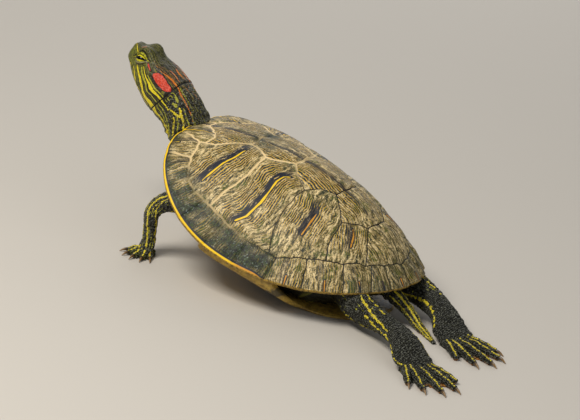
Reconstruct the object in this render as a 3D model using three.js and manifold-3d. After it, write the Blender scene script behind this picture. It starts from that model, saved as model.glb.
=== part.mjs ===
// Red-eared slider turtle, life size, basking with its head raised.
// Millimetres, +Z up. The head points along -Y and the animal's left side along +X.
// It stands on the plane z = 0, under the middle of its outline.
import * as THREE from "three";
import { mergeVertices } from "three/addons/utils/BufferGeometryUtils.js";
import Module from "manifold-3d";

const wasm = await Module();
wasm.setup();

// ---------------------------------------------------------------- driving dimensions
const CARAPACE_LENGTH = 200;
const CARAPACE_WIDTH = 162;
const DOME_HEIGHT = 61; // from the side rim to the top of the dome
const RIM_RISE_FRONT = 42; // the rim lifts over the neck
const RIM_RISE_REAR = 18;
const CARAPACE_THICKNESS = 3.4;
const PLASTRON_LENGTH = 176;
const PLASTRON_DEPTH = 22.6; // below the side rim
const PLASTRON_THICKNESS = 3.6;
const SHELL_PITCH = THREE.MathUtils.degToRad(10); // nose up
const SHELL_HEIGHT = 30.4; // side rim's level above the floor, at mid length
const GAP = 0.3; // between touching pieces
const CLEARANCE = 1.6; // round the body inside the shell, whose facets are coarser
const FLOOR = 0;

const HEAD_LENGTH = 50.5;
const HEAD_PITCH = THREE.MathUtils.degToRad(30);
const HEAD_TURN = THREE.MathUtils.degToRad(-2); // a little to the animal's right
const SNOUT = new THREE.Vector3(0, -156.2, 122.8);
const EYE_RADIUS = 4.8;
const EYE_PLACE = { back: 14, up: 7, out: 7.6 };

const CLAWS_FRONT = 5;
const CLAWS_HIND = 4; // the fifth hind toe has none

// ---------------------------------------------------------------- small helpers
const vec = (x, y, z) => new THREE.Vector3(x, y, z);
const { lerp, clamp, smoothstep } = THREE.MathUtils;
const power = (base, exponent) => Math.pow(Math.abs(base), exponent);

// Table look-up: pairs of [place, value], with a smooth curve between neighbours.
function profile(pairs, place) {
  if (place <= pairs[0][0]) return pairs[0][1];
  for (let i = 1; i < pairs.length; i += 1) {
    const [from, a] = pairs[i - 1];
    const [to, b] = pairs[i];
    if (place <= to) {
      const before = pairs[Math.max(i - 2, 0)];
      const after = pairs[Math.min(i + 1, pairs.length - 1)];
      const slopeA = (b - before[1]) / (to - before[0]);
      const slopeB = (after[1] - a) / (after[0] - from);
      const t = (place - from) / (to - from);
      const run = to - from;
      return (
        a * (2 * t ** 3 - 3 * t ** 2 + 1) + slopeA * run * (t ** 3 - 2 * t ** 2 + t) +
        b * (3 * t ** 2 - 2 * t ** 3) + slopeB * run * (t ** 3 - t ** 2)
      );
    }
  }
  return pairs[pairs.length - 1][1];
}

// A closed solid through rings of equal count, with a point closing each end.
function loft(rings, first, last) {
  const count = rings[0].length;
  const points = [...rings.flat(), first, last];
  const start = points.length - 2;
  const end = points.length - 1;
  const faces = [];
  for (let r = 0; r + 1 < rings.length; r += 1) {
    for (let i = 0; i < count; i += 1) {
      const a = r * count + i;
      const b = r * count + ((i + 1) % count);
      faces.push(a, b, a + count, b, b + count, a + count);
    }
  }
  const lastRing = (rings.length - 1) * count;
  for (let i = 0; i < count; i += 1) {
    const next = (i + 1) % count;
    faces.push(start, next, i);
    faces.push(end, lastRing + i, lastRing + next);
  }
  return outward(points, faces);
}

// Turns the faces out, whichever way the rings ran.
function outward(points, faces) {
  let volume = 0;
  for (let i = 0; i < faces.length; i += 3) {
    const [a, b, c] = [points[faces[i]], points[faces[i + 1]], points[faces[i + 2]]];
    volume += a.dot(vec().crossVectors(b, c));
  }
  if (volume < 0) {
    for (let i = 0; i < faces.length; i += 3) {
      [faces[i + 1], faces[i + 2]] = [faces[i + 2], faces[i + 1]];
    }
  }
  const geometry = new THREE.BufferGeometry().setFromPoints(points);
  geometry.setIndex(faces);
  return geometry;
}

const centre = (ring) => ring.reduce((sum, p) => sum.add(p), vec(0, 0, 0)).divideScalar(ring.length);

function solid(geometry) {
  const bare = geometry.clone();
  bare.deleteAttribute("normal");
  bare.deleteAttribute("uv");
  const merged = mergeVertices(bare, 1e-4);
  return new wasm.Manifold(new wasm.Mesh({
    numProp: 3,
    vertProperties: new Float32Array(merged.attributes.position.array),
    triVerts: new Uint32Array(merged.index.array),
  }));
}

function geometryOf(body) {
  const whole = body.decompose().reduce((big, part) => (part.volume() > big.volume() ? part : big));
  const mesh = whole.getMesh();
  const geometry = new THREE.BufferGeometry();
  const places = new Float32Array(mesh.vertProperties);
  geometry.setAttribute("position", new THREE.BufferAttribute(places, 3));
  geometry.setIndex(new THREE.BufferAttribute(new Uint32Array(mesh.triVerts), 1));
  return geometry;
}

const join = (bodies) => bodies.reduce((a, b) => a.add(b));
const cutBy = (body, cutters) => cutters.reduce((a, b) => a.subtract(b), body);

// A limb, neck or tail: rings across a smooth path. size(t) gives the half width, the half
// height and the squareness there, and across(t) the direction that the width runs in.
function tube(path, from, to, steps, sides, size, across) {
  const curve = new THREE.CatmullRomCurve3(path, false, "centripetal");
  const rings = [];
  for (let k = 0; k <= steps; k += 1) {
    const t = lerp(from, to, k / steps);
    const at = curve.getPointAt(t);
    const along = curve.getTangentAt(t);
    const side = across(t).clone().addScaledVector(along, -across(t).dot(along)).normalize();
    const up = vec().crossVectors(side, along).normalize();
    const { wide, high, square = 2 } = size(t);
    rings.push(Array.from({ length: sides }, (_, i) => {
      const angle = (2 * Math.PI * (i + 0.5)) / sides;
      const c = Math.cos(angle);
      const s = Math.sin(angle);
      const reach = Math.pow(power(c, square) + power(s, square), -1 / square);
      return at.clone().addScaledVector(side, wide * c * reach).addScaledVector(up, high * s * reach);
    }));
  }
  return rings;
}

const closedTube = (rings) => loft(rings, centre(rings[0]), centre(rings[rings.length - 1]));

// ---------------------------------------------------------------- materials
const material = (name, color, roughness) => {
  const made = new THREE.MeshStandardMaterial({ color, roughness, metalness: 0 });
  made.name = name;
  return made;
};
const HORN = material("shell_horn", 0x8d8466, 0.55);
const PLASTRON_HORN = material("plastron_horn", 0xc9ad55, 0.5);
const SKIN = material("skin", 0x3a3d2a, 0.6);
const EYE = material("eye", 0xb8b83a, 0.15);
const CLAW = material("claw", 0x2c2620, 0.45);

const turtle = new THREE.Group();
const shell = new THREE.Group();
shell.position.z = SHELL_HEIGHT;
shell.rotation.x = -SHELL_PITCH;
shell.updateMatrix();
turtle.add(shell);

function add(group, name, geometry, look) {
  const mesh = new THREE.Mesh(geometry, look);
  mesh.name = name;
  group.add(mesh);
  return mesh;
}

// ---------------------------------------------------------------- shell
// The rim as seen from above, by its bearing from the middle: 0 is over the neck, left is +.
// Bearings of the seams between the twelve marginals, from the nuchal's edge to the tail.
const SEAM_BEARINGS = [
  0.045, 0.237, 0.512, 0.77, 1, 1.27, 1.57, 1.89, 2.22, 2.548, 2.765, 2.935, Math.PI,
];
const FRONT_SQUARENESS = 3;
const REAR_SQUARENESS = 2.05;
const FRONT_BIAS = 0.058; // the front half is this much wider and higher than the rear half
const TOOTH_DEPTH = 0.014; // of the reach
const DOME_FALL = 1.9;
const DOME_SHOULDER = 0.96;

function rimReach(bearing) {
  const c = Math.cos(bearing);
  const square = c > 0 ? FRONT_SQUARENESS : REAR_SQUARENESS;
  const halfWide = (CARAPACE_WIDTH / 2) * (1 + FRONT_BIAS * c);
  const along = power(c / (CARAPACE_LENGTH / 2), square);
  const across = power(Math.sin(bearing) / halfWide, square);
  return Math.pow(along + across, -1 / square);
}

// The rear marginals end in shallow teeth.
function toothed(bearing) {
  const turn = Math.abs(bearing);
  const nearest = Math.min(...SEAM_BEARINGS.map((seam) => Math.abs(turn - seam)));
  const rear = smoothstep(turn, 1.9, 2.5);
  const notch = 1 - smoothstep(nearest, 0, 0.06);
  return 1 - TOOTH_DEPTH * rear * notch;
}

function rim(bearing) {
  const reach = rimReach(bearing) * toothed(bearing);
  const forward = (Math.cos(bearing) * reach) / (CARAPACE_LENGTH / 2);
  const rise = forward > 0 ? RIM_RISE_FRONT * forward ** 2.2 : RIM_RISE_REAR * forward ** 2;
  return vec(Math.sin(bearing) * reach, -Math.cos(bearing) * reach, rise);
}

// A point of the dome: share is 0 at the top and 1 on the rim.
function dome(bearing, share) {
  const edge = rim(bearing);
  const bias = 1 - (FRONT_BIAS * edge.y * share) / CARAPACE_LENGTH;
  const lift = DOME_HEIGHT * bias * Math.pow(1 - share ** DOME_FALL, DOME_SHOULDER);
  return vec(edge.x * share, edge.y * share, edge.z * share ** 2 + lift);
}

const WALL_INSET = 0.035; // the shell's thickness at its rim, of the reach
const INSET_PER_MM = 0.008;

// The underside: a thin bowl. grow widens the solid so that neighbours can be cut clear of it.
function innerDome(bearing, share, grow) {
  const outer = dome(bearing, share);
  const inset = 1 - (WALL_INSET + INSET_PER_MM * grow) * share;
  return vec(outer.x * inset, outer.y * inset, outer.z - CARAPACE_THICKNESS - grow);
}

const LIP_HEIGHT = 1.8; // the rim's blunt edge
const LIP_INSET = 0.992;
const OUTER_SHARES = [0.22, 0.42, 0.6, 0.74, 0.86, 0.95, 1];
const INNER_SHARES = [0.97, 0.84, 0.62, 0.36];

function carapaceGeometry(grow) {
  const bearings = [];
  for (const side of [1, -1]) {
    for (let k = 0; k + 1 < SEAM_BEARINGS.length; k += 1) {
      for (const part of [0, 0.5]) {
        bearings.push(side * lerp(SEAM_BEARINGS[k], SEAM_BEARINGS[k + 1], part));
      }
    }
  }
  bearings.push(Math.PI);
  bearings.sort((a, b) => a - b);
  const spread = (share) => 1 + (2 * grow * share) / CARAPACE_WIDTH;
  const outside = OUTER_SHARES.map((share) =>
    bearings.map((b) => dome(b, share).multiply(vec(spread(share), spread(share), 1)).add(vec(0, 0, grow))));
  const lip = bearings.map((b) => {
    const edge = rim(b);
    const under = spread(1) * LIP_INSET;
    return vec(edge.x * under, edge.y * under, edge.z - LIP_HEIGHT - grow);
  });
  const inside = INNER_SHARES.map((share) => bearings.map((b) => innerDome(b, share, grow)));
  return loft([...outside, lip, ...inside], dome(0, 0).add(vec(0, 0, grow)), innerDome(0, 0, grow));
}

// Half width of the plastron at a place along it, from -0.5 (tail) to 0.5 (neck).
function plastronHalfWidth(place) {
  const fore = 0.235 * Math.sqrt(Math.max(0, 1 - power((place - 0.06) / 0.445, 2.6)));
  const hind = 0.225 * Math.sqrt(Math.max(0, 1 - power((place + 0.06) / 0.445, 3)));
  const bridge = 0.15 * smoothstep(place, -0.27, -0.16) * (1 - smoothstep(place, 0.17, 0.27));
  return CARAPACE_LENGTH * ((place > 0 ? fore : hind) + bridge);
}

// The underside curves up towards the neck, a little towards the tail, and up to the bridges.
const NECK_LOBE_RISE = 67.6;
const TAIL_LOBE_RISE = 9;
const BRIDGE_RISE = 16.5;
const FLAT_HALF_WIDTH = 36;
const BRIDGE_RUN = 38;

function plastronUnder(x, y) {
  const place = -y / PLASTRON_LENGTH;
  const neckLobe = NECK_LOBE_RISE * power(Math.max(0, place - 0.08), 1.7);
  const tailLobe = TAIL_LOBE_RISE * power(Math.max(0, -place - 0.2) / 0.3, 2);
  const flank = BRIDGE_RISE * power(clamp((Math.abs(x) - FLAT_HALF_WIDTH) / BRIDGE_RUN, 0, 1), 1.7);
  return -PLASTRON_DEPTH + neckLobe + tailLobe + flank;
}

function plastronGeometry(grow) {
  const places = [];
  for (let k = 0; k <= 22; k += 1) places.push(-0.5 * Math.cos((Math.PI * k) / 22) * 0.998);
  const across = [-1, -0.86, -0.66, -0.4, 0, 0.4, 0.66, 0.86, 1];
  const rings = places.map((place) => {
    const half = Math.max(2, plastronHalfWidth(place)) + grow;
    const y = -place * (PLASTRON_LENGTH + 2 * grow);
    const under = across.map((u) => vec(u * half, y, plastronUnder(u * half, y) - grow));
    const over = across.slice(1, -1).reverse().map((u) =>
      vec(u * half, y, plastronUnder(u * half, y) + PLASTRON_THICKNESS + grow));
    const edgeTop = plastronUnder(half, y) + PLASTRON_THICKNESS * 0.9 + grow;
    const [left, right] = [1, -1].map((u) => vec(u * (half - 0.6), y, edgeTop));
    return [...under, left, ...over, right];
  });
  return closedTube(rings);
}

// The body inside the shell. Its walls show as the skin of the neck, leg and tail openings.
function trunkGeometry(grow) {
  const bearings = Array.from({ length: 32 }, (_, i) => (2 * Math.PI * (i + 0.5)) / 32);
  const wider = 1 + grow / 50;
  const ring = (surface, share, level) => bearings.map((b) => {
    const p = surface(b, share);
    const [x, y] = [p.x * wider, p.y * wider];
    return vec(x, y, level(x, y, p.z));
  });
  const roof = (b, share) => innerDome(b, share, CLEARANCE);
  const floorLevel = (x, y) => plastronUnder(x, y) + PLASTRON_THICKNESS + CLEARANCE - grow;
  const top = (share) => ring(roof, share, (x, y, z) => z + grow);
  const under = (share) => ring(dome, share, floorLevel);
  const wall = ring(dome, 0.8, (x, y, z) => lerp(plastronUnder(x, y), z, 0.45));
  return loft([top(0.35), top(0.6), top(0.8), wall, under(0.74), under(0.5), under(0.25)],
    roof(0, 0), vec(0, 0, floorLevel(0, 0) + grow));
}

const floorCutter = solid(new THREE.BoxGeometry(600, 600, 40).translate(0, 0, FLOOR - 20));
const toWorld = (body) => body.transform(shell.matrix.elements);
const toShell = (body) => body.transform(shell.matrix.clone().invert().elements);

const carapace = solid(carapaceGeometry(0));
const carapaceRoom = solid(carapaceGeometry(GAP));
const plastron = cutBy(solid(plastronGeometry(0)), [carapaceRoom, toShell(floorCutter)]);
const plastronRoom = solid(plastronGeometry(GAP));
const trunk = solid(trunkGeometry(0));
const trunkRoom = solid(trunkGeometry(GAP));

add(shell, "carapace", geometryOf(carapace), HORN);
add(shell, "plastron", geometryOf(plastron), PLASTRON_HORN);
add(shell, "trunk", geometryOf(trunk), SKIN);
const shellRooms = [carapaceRoom, plastronRoom, trunkRoom].map(toWorld);

// ---------------------------------------------------------------- head
// Own frame: the snout's tip at the origin, -Y forward, so "back" is +Y.
const headFrame = new THREE.Group();
headFrame.position.copy(SNOUT);
headFrame.rotation.set(-HEAD_PITCH, 0, HEAD_TURN, "ZXY");
headFrame.updateMatrix();
turtle.add(headFrame);

// Each row: how far back from the snout, then the top, the underside and the half width there.
const HEAD_STATIONS = [
  [0, 7.8, 0, 2.6],
  [0.6, 9.4, -1.6, 4.3],
  [2, 10.6, -3.4, 6],
  [6, 13, -6.4, 8],
  [11, 16.4, -9.4, 9.7],
  [15, 17.8, -11.2, 11.1],
  [22, 17.2, -13.4, 13.4],
  [32, 16.8, -15.4, 15.9],
  [42, 16.6, -16.4, 16.6],
  [HEAD_LENGTH, 16, -17, 15.8],
];
const headColumn = (column, back) => profile(HEAD_STATIONS.map((row) => [row[0], row[column]]), back);
const CROWN_SQUARENESS = 3;
const CHIN_SQUARENESS = 2.15;
const HEAD_SIDES = 28;

// A ring of the head: broad and flat on top, rounded at the cheeks, narrower at the chin.
function headRing(back) {
  const [top, under, half] = [1, 2, 3].map((column) => headColumn(column, back));
  const middle = lerp(top, under, 0.52);
  return Array.from({ length: HEAD_SIDES }, (_, i) => {
    const angle = (2 * Math.PI * (i + 0.5)) / HEAD_SIDES;
    const c = Math.cos(angle);
    const s = Math.sin(angle);
    const square = s > 0 ? CROWN_SQUARENESS : CHIN_SQUARENESS;
    const reach = Math.pow(power(c, square) + power(s, square), -1 / square);
    const height = s > 0 ? top - middle : middle - under;
    return vec(half * c * reach, back, middle + height * s * reach);
  });
}

const headBacks = [0, 0.6, 2, 4.5, 7.5, 11, 15, 19, 23, 28, 33, 38, 44, HEAD_LENGTH];
const headWhole = solid(loft(headBacks.map((b) => headRing(b)), vec(0, -0.6, 3.5), vec(0, HEAD_LENGTH, 0)));

// The mouth line runs back from under the snout and turns down behind the corner of the mouth.
function jawBlock(grow) {
  const outline = new THREE.Shape();
  outline.moveTo(-6, -2.2 + grow);
  outline.lineTo(9, -3.6 + grow);
  outline.lineTo(16.5, -5.6 + grow);
  outline.lineTo(23.5 + grow, -8 + grow);
  outline.quadraticCurveTo(27.5 + grow, -10, 30.5 + grow, -30);
  outline.lineTo(-6, -30);
  const block = new THREE.ExtrudeGeometry(outline, { depth: 60, bevelEnabled: false, curveSegments: 4 });
  // outline x runs back along +Y, outline y stays up, the depth lies across the head
  const turn = new THREE.Matrix4().makeBasis(vec(0, 1, 0), vec(0, 0, 1), vec(1, 0, 0));
  return solid(block.translate(0, 0, -30).applyMatrix4(turn));
}

const eyeBall = (side, grow) => {
  const ball = new THREE.SphereGeometry(EYE_RADIUS + grow, 12, 8);
  ball.rotateZ(Math.PI / 2);
  return ball.translate(side * EYE_PLACE.out, EYE_PLACE.back, EYE_PLACE.up);
};

const eyeRooms = [1, -1].map((side) => solid(eyeBall(side, GAP)));
const skull = cutBy(headWhole, [jawBlock(GAP), ...eyeRooms]);
const jaw = headWhole.intersect(jawBlock(0));
add(headFrame, "head", geometryOf(skull), SKIN);
add(headFrame, "lower_jaw", geometryOf(jaw), SKIN);
add(headFrame, "eye_left", geometryOf(solid(eyeBall(1, 0))), EYE);
add(headFrame, "eye_right", geometryOf(solid(eyeBall(-1, 0))), EYE);

// ---------------------------------------------------------------- neck
const nape = vec(0, HEAD_LENGTH - 3, -0.5).applyMatrix4(headFrame.matrix);
const behindHead = vec(0, HEAD_LENGTH + 5, -0.4).applyMatrix4(headFrame.matrix);
const NECK_PATH = [nape, behindHead, vec(-1, -100.5, 83.5), vec(-1, -92, 70), vec(0, -78, 59), vec(0, -62, 52)];
const neckSize = (t) => ({
  wide: profile([[0, 15.2], [0.25, 15.4], [0.5, 14.8], [1, 15.5]], t),
  high: profile([[0, 15.8], [0.25, 16], [0.5, 14.8], [1, 13]], t),
  square: 2.2,
});
const neckRings = tube(NECK_PATH, 0, 1, 9, 22, neckSize, () => vec(1, 0, 0));
// Everything in front of the plane where the head ends.
const headSide = solid(new THREE.BoxGeometry(80, 80, 80).translate(0, HEAD_LENGTH + GAP - 40, 0))
  .transform(headFrame.matrix.elements);
const neck = cutBy(solid(closedTube(neckRings)), [...shellRooms, headSide]);
add(turtle, "neck", geometryOf(neck), SKIN);

// ---------------------------------------------------------------- limbs
// One digit or toe, from inside the palm to where its claw begins.
function digit(root, tip, thick) {
  const middle = root.clone().lerp(tip, 0.55).add(vec(0, 0, thick * 0.35));
  const size = (t) => ({ wide: lerp(thick * 1.1, thick * 0.8, t), high: lerp(thick, thick * 0.8, t) });
  const across = vec(0, 0, 1).cross(tip.clone().sub(root)).normalize();
  return closedTube(tube([root, middle, tip], 0, 1, 2, 6, size, () => across));
}

const CLAW_GAP = 0.6; // more than GAP, since the digits slope down to their claws

// A claw: a short bent cone that starts a little beyond its digit.
function claw(tip, heading, length, thick) {
  const down = vec(0, 0, -1);
  const start = tip.clone().addScaledVector(heading, CLAW_GAP);
  const middle = start.clone().addScaledVector(heading, length * 0.55).addScaledVector(down, thick * 0.15);
  const end = start.clone().addScaledVector(heading, length);
  end.z = Math.max(FLOOR + thick * 0.35, end.z - thick * 0.6);
  const across = vec(0, 0, 1).cross(heading).normalize();
  const size = (t) => ({ wide: lerp(thick * 0.7, thick * 0.22, t), high: lerp(thick, thick * 0.25, t) });
  return closedTube(tube([start, middle, end], 0, 1, 3, 6, size, () => across));
}

// Where a hand or foot fans out: digit k of count, turned about the palm's middle.
function fan(palm, heading, spread, count, k, reach) {
  const turn = lerp(-spread, spread, k / (count - 1));
  const aim = heading.clone().applyAxisAngle(vec(0, 0, 1), turn);
  return palm.clone().addScaledVector(aim, reach);
}

// The point beside the palm's middle, square to the heading, by a share of p's own distance to the side.
function beside(palm, heading, p, share) {
  const gap = p.clone().sub(palm);
  gap.addScaledVector(heading, -gap.dot(heading));
  return palm.clone().addScaledVector(gap, share);
}

// Lays out one limb. pose.path runs from inside the body to the middle of the palm.
function limb(pose) {
  const { side, names, path, cuts, size, across } = pose;
  const mirror = (p) => vec(side * p.x, p.y, p.z);
  const line = path.map(mirror);
  const cross = (t) => mirror(across(t));
  const bounds = [0, ...cuts, 1];
  const length = new THREE.CatmullRomCurve3(line, false, "centripetal").getLength();
  const half = GAP / 2 / length;
  names.forEach((name, k) => {
    const from = bounds[k] + (k ? half : 0);
    const to = bounds[k + 1] - (k + 1 < names.length ? half : 0);
    const steps = k + 1 < names.length ? 5 : 6;
    let body = solid(closedTube(tube(line, from, to, steps, 12, size, cross)));
    if (k + 1 === names.length) body = body.add(fingers(pose, mirror));
    body = cutBy(body, [...shellRooms, floorCutter]);
    add(turtle, name, geometryOf(body), SKIN);
  });
}

const FLANK_SPREAD = 0.85;
const ANKLE_RISE = 1.5;

function fingers(pose, mirror) {
  const { palm, heading, spread, reaches, thick, side, clawNames, clawLength } = pose;
  const bodies = [];
  reaches.forEach((reach, k) => {
    const tip = fan(palm, heading, spread, reaches.length, k, reach);
    const root = beside(palm, heading, tip, pose.rootSpread).addScaledVector(heading, -pose.rootBack);
    tip.z = FLOOR + thick * 0.78;
    root.z = palm.z;
    bodies.push(solid(digit(mirror(root), mirror(tip), thick)));
    const aim = tip.clone().sub(root).setZ(0).normalize();
    if (k < clawNames.length) {
      const point = claw(mirror(tip), mirror(aim), clawLength, thick * 0.62);
      const trimmed = cutBy(solid(point), [floorCutter]);
      add(turtle, clawNames[k], geometryOf(trimmed), CLAW);
    }
  });
  if (pose.web) bodies.push(solid(pose.web(mirror)));
  return join(bodies);
}

// The web between the toes: a wedge as wide as the palm, that thins from the ankle to the toes' middles.
function webBetween(palm, heading, spread, reaches, share, thickness) {
  return (mirror) => {
    const rim = reaches.map((reach, k) => fan(palm, heading, spread, reaches.length, k, reach * share));
    const scallops = [];
    rim.forEach((p, k) => {
      scallops.push(p);
      if (k + 1 < rim.length) scallops.push(p.clone().lerp(rim[k + 1], 0.5).lerp(palm, 0.1));
    });
    const flanks = [rim[0], rim[rim.length - 1]].map((p) => beside(palm, heading, p, FLANK_SPREAD));
    const outline = [palm.clone().addScaledVector(heading, -6), flanks[0], ...scallops, flanks[1]];
    const rise = (k) => FLOOR + (k ? thickness : palm.z * ANKLE_RISE);
    const low = outline.map((p) => mirror(vec(p.x, p.y, FLOOR)));
    const high = outline.map((p, k) => mirror(vec(p.x, p.y, rise(k))));
    const points = [...low, ...high];
    const n = outline.length;
    const faces = [];
    for (let i = 0; i < n; i += 1) {
      const j = (i + 1) % n;
      faces.push(i, j, i + n, j, j + n, i + n);
    }
    for (let i = 1; i + 1 < n; i += 1) {
      faces.push(0, i + 1, i, n, n + i, n + i + 1);
    }
    return outward(points, faces);
  };
}

const named = (stem, count) => Array.from({ length: count }, (_, k) => `${stem}_${k + 1}`);

// The left arm from inside the shell, over the elbow and down to the wrist.
const ARM_PATH = [
  vec(26, -56, 45), vec(38, -69, 45), vec(48, -82, 41),
  vec(51, -87.5, 33), vec(50.5, -87.5, 20), vec(50, -87.5, 9),
];
const ARM_REACHES = [10, 11.2, 11.6, 11.4, 11];
function armPose(side, label) {
  const palm = vec(52, -88.5, 3.4);
  const heading = vec(0.98, -0.05, 0).normalize();
  const spread = THREE.MathUtils.degToRad(60);
  return {
    side,
    palm,
    heading,
    spread: -spread,
    reaches: ARM_REACHES,
    rootBack: 2,
    rootSpread: 0.3, // how far apart the digits start, as a share of how far apart they end
    thick: 2.3,
    clawLength: 6.5,
    clawNames: named(`claw_front_${label}`, CLAWS_FRONT),
    names: [`upper_arm_${label}`, `forearm_${label}`, `hand_${label}`],
    path: [...ARM_PATH, palm],
    cuts: [0.47, 0.87],
    size: (t) => ({
      wide: profile([[0, 13], [0.3, 11.5], [0.5, 9], [0.7, 7.6], [0.85, 7], [0.93, 8], [1, 9.4]], t),
      high: profile([[0, 12], [0.3, 9], [0.5, 5.6], [0.7, 4.4], [0.85, 4], [0.93, 4], [1, 3.2]], t),
      square: 2.2,
    }),
    across: (t) => {
      const upright = lerp(0.9, 0.1, smoothstep(t, 0.1, 0.5));
      return vec(lerp(0.35, 0.62, t), lerp(0.1, 0.78, t), upright).normalize();
    },
    web: webBetween(palm, heading, -spread, ARM_REACHES, 0.62, 1.4),
  };
}
limb(armPose(1, "left"));
limb(armPose(-1, "right"));

const LEG_REACHES = [27, 33, 36, 35, 29];
const LEG_SPREAD = THREE.MathUtils.degToRad(42);
function legPose(side, label, path, heading) {
  const palm = path[path.length - 1];
  return {
    side,
    palm,
    heading,
    spread: LEG_SPREAD,
    reaches: LEG_REACHES,
    rootBack: 4,
    rootSpread: 0.5,
    thick: 2.5,
    clawLength: 7.5,
    clawNames: named(`claw_hind_${label}`, CLAWS_HIND),
    names: [`thigh_${label}`, `shank_${label}`, `foot_${label}`],
    path,
    cuts: [0.36, 0.78],
    size: (t) => ({
      wide: profile([[0, 15], [0.3, 12], [0.5, 9.4], [0.68, 9.4], [0.85, 13], [0.94, 15], [1, 12]], t),
      high: profile([[0, 13], [0.3, 10], [0.5, 8], [0.68, 6.4], [0.85, 4.6], [0.94, 3.6], [1, 2]], t),
      square: 2.2,
    }),
    across: (t) => {
      const flat = smoothstep(t, 0.3, 0.8);
      return vec(0.3, 0.1, 1 - flat).addScaledVector(vec(0, 0, 1).cross(heading), -flat).normalize();
    },
    web: webBetween(palm, heading, LEG_SPREAD, LEG_REACHES, 0.74, 1.3),
  };
}
// Each from inside the shell, over the knee and heel to the sole.
const LEFT_LEG = [
  vec(20, 46, 30), vec(31, 66, 23), vec(39, 86, 16.5), vec(46, 108, 15),
  vec(58, 134, 13), vec(69, 150, 6.5), vec(73, 157, 4.4),
];
const RIGHT_LEG = [
  vec(20, 46, 30), vec(28, 66, 23), vec(30, 87, 17), vec(24, 106, 14),
  vec(12, 126, 11), vec(2, 139, 6), vec(-3, 147, 4.4),
];
limb(legPose(1, "left", LEFT_LEG, vec(0.5, 0.866, 0).normalize()));
limb(legPose(-1, "right", RIGHT_LEG, vec(-0.3, 0.95, 0).normalize()));

// ---------------------------------------------------------------- tail
const TAIL_PATH = [
  vec(0, 66, 26), vec(0, 84, 20), vec(0, 100, 12),
  vec(3, 114, 4.2), vec(9, 126, 1.9), vec(15, 135, 1),
];
const tailSize = (t) => ({ wide: lerp(10, 1.2, power(t, 0.7)), high: lerp(9, 1.1, power(t, 0.7)) });
const tail = cutBy(solid(closedTube(tube(TAIL_PATH, 0, 1, 10, 12, tailSize, () => vec(1, 0, 0)))),
  [...shellRooms, floorCutter]);
add(turtle, "tail", geometryOf(tail), SKIN);

// ---------------------------------------------------------------- origin
// The origin is under the middle of the whole animal, on the floor.
const box = new THREE.Box3().setFromObject(turtle, true);
const middle = box.getCenter(vec());
turtle.position.set(-middle.x, -middle.y, 0);

export default turtle;
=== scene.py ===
# %% [markdown]
# # A red-eared slider, life size
# A freshwater turtle basks with its head stretched up, its front legs propped and its hind legs
# stretched out behind. The horn of its shell is made scute by scute, one skin covers head, neck, limbs
# and tail, a coat of scales grows on it, and the eyes and claws are pieces of their own.

# %% The frame
import math

import bpy
import numpy as np
from mathutils import Matrix, Vector


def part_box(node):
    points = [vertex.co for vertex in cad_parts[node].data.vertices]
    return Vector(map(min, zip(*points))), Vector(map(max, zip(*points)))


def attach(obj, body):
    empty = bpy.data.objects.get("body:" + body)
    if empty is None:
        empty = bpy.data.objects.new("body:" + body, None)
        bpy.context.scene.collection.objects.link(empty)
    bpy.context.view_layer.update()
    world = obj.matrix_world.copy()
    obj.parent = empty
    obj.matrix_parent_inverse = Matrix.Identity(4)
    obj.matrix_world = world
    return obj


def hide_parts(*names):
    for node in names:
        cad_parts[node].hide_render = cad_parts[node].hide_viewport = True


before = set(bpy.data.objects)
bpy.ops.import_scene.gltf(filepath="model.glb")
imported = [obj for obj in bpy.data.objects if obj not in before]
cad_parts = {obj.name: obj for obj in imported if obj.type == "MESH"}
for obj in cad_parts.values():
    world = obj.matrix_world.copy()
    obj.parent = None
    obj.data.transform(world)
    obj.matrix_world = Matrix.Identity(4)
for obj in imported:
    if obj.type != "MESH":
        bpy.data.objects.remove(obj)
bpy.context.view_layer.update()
scene = bpy.context.scene
random = np.random.default_rng(7)
print("nodes:", len(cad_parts))

# %% [markdown]
# ## Small tools
# Everything below is worked out in millimetres, in the animal's own place: its shell's middle is
# over the origin, its head points along -Y and its left side along +X. One function brings finished
# points to the frame, in metres. Shapes are whole arrays, so there is no loop over vertices.

# %% Numbers and curves
MM = 0.001


def lerp(a, b, t):
    """The value a share t of the way from a to b."""
    return a + (b - a) * t


def ease(x, low, high):
    """0 below low, 1 above high and a smooth S between: t squared times (3 - 2 t)."""
    t = np.clip((x - low) / (high - low), 0, 1)
    return t * t * (3 - 2 * t)


def bump(x, middle, width):
    """A bell: e to the minus (distance from the middle over the width) squared."""
    return np.exp(-(((x - middle) / width) ** 2))


def unit(v):
    """Vectors of length 1."""
    return v / np.maximum(np.linalg.norm(v, axis=-1, keepdims=True), 1e-9)


def profile(table, place, column=1):
    """A smooth curve through a table's rows: a cubic between two rows, whose slope at each row is that of
    the line joining its neighbours."""
    table = np.asarray(table, float)
    x, y = table[:, 0], table[:, column]
    last = len(x) - 1
    before, after = np.maximum(np.arange(last + 1) - 1, 0), np.minimum(np.arange(last + 1) + 1, last)
    slope = (y[after] - y[before]) / (x[after] - x[before])
    place = np.clip(place, x[0], x[-1])
    k = np.clip(np.searchsorted(x, place, side="right") - 1, 0, last - 1)
    run = x[k + 1] - x[k]
    t = (place - x[k]) / run
    rise = y[k] * (2 * t**3 - 3 * t**2 + 1) + y[k + 1] * (3 * t**2 - 2 * t**3)
    return rise + run * (slope[k] * (t**3 - 2 * t**2 + t) + slope[k + 1] * (t**3 - t**2))


def ripple(points, scale, seed=0):
    """Soft noise between about -1 and 1: the mean of seven sine waves that run in fixed, unlike directions,
    with waves about scale millimetres long."""
    own = np.random.default_rng(seed)
    ways = unit(own.normal(size=(7, 3))) * own.uniform(0.7, 1.5, (7, 1))
    phases = own.uniform(0, 2 * np.pi, 7)
    return np.sin(points @ ways.T * (2 * np.pi / scale) + phases).mean(-1) * 1.9


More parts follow.
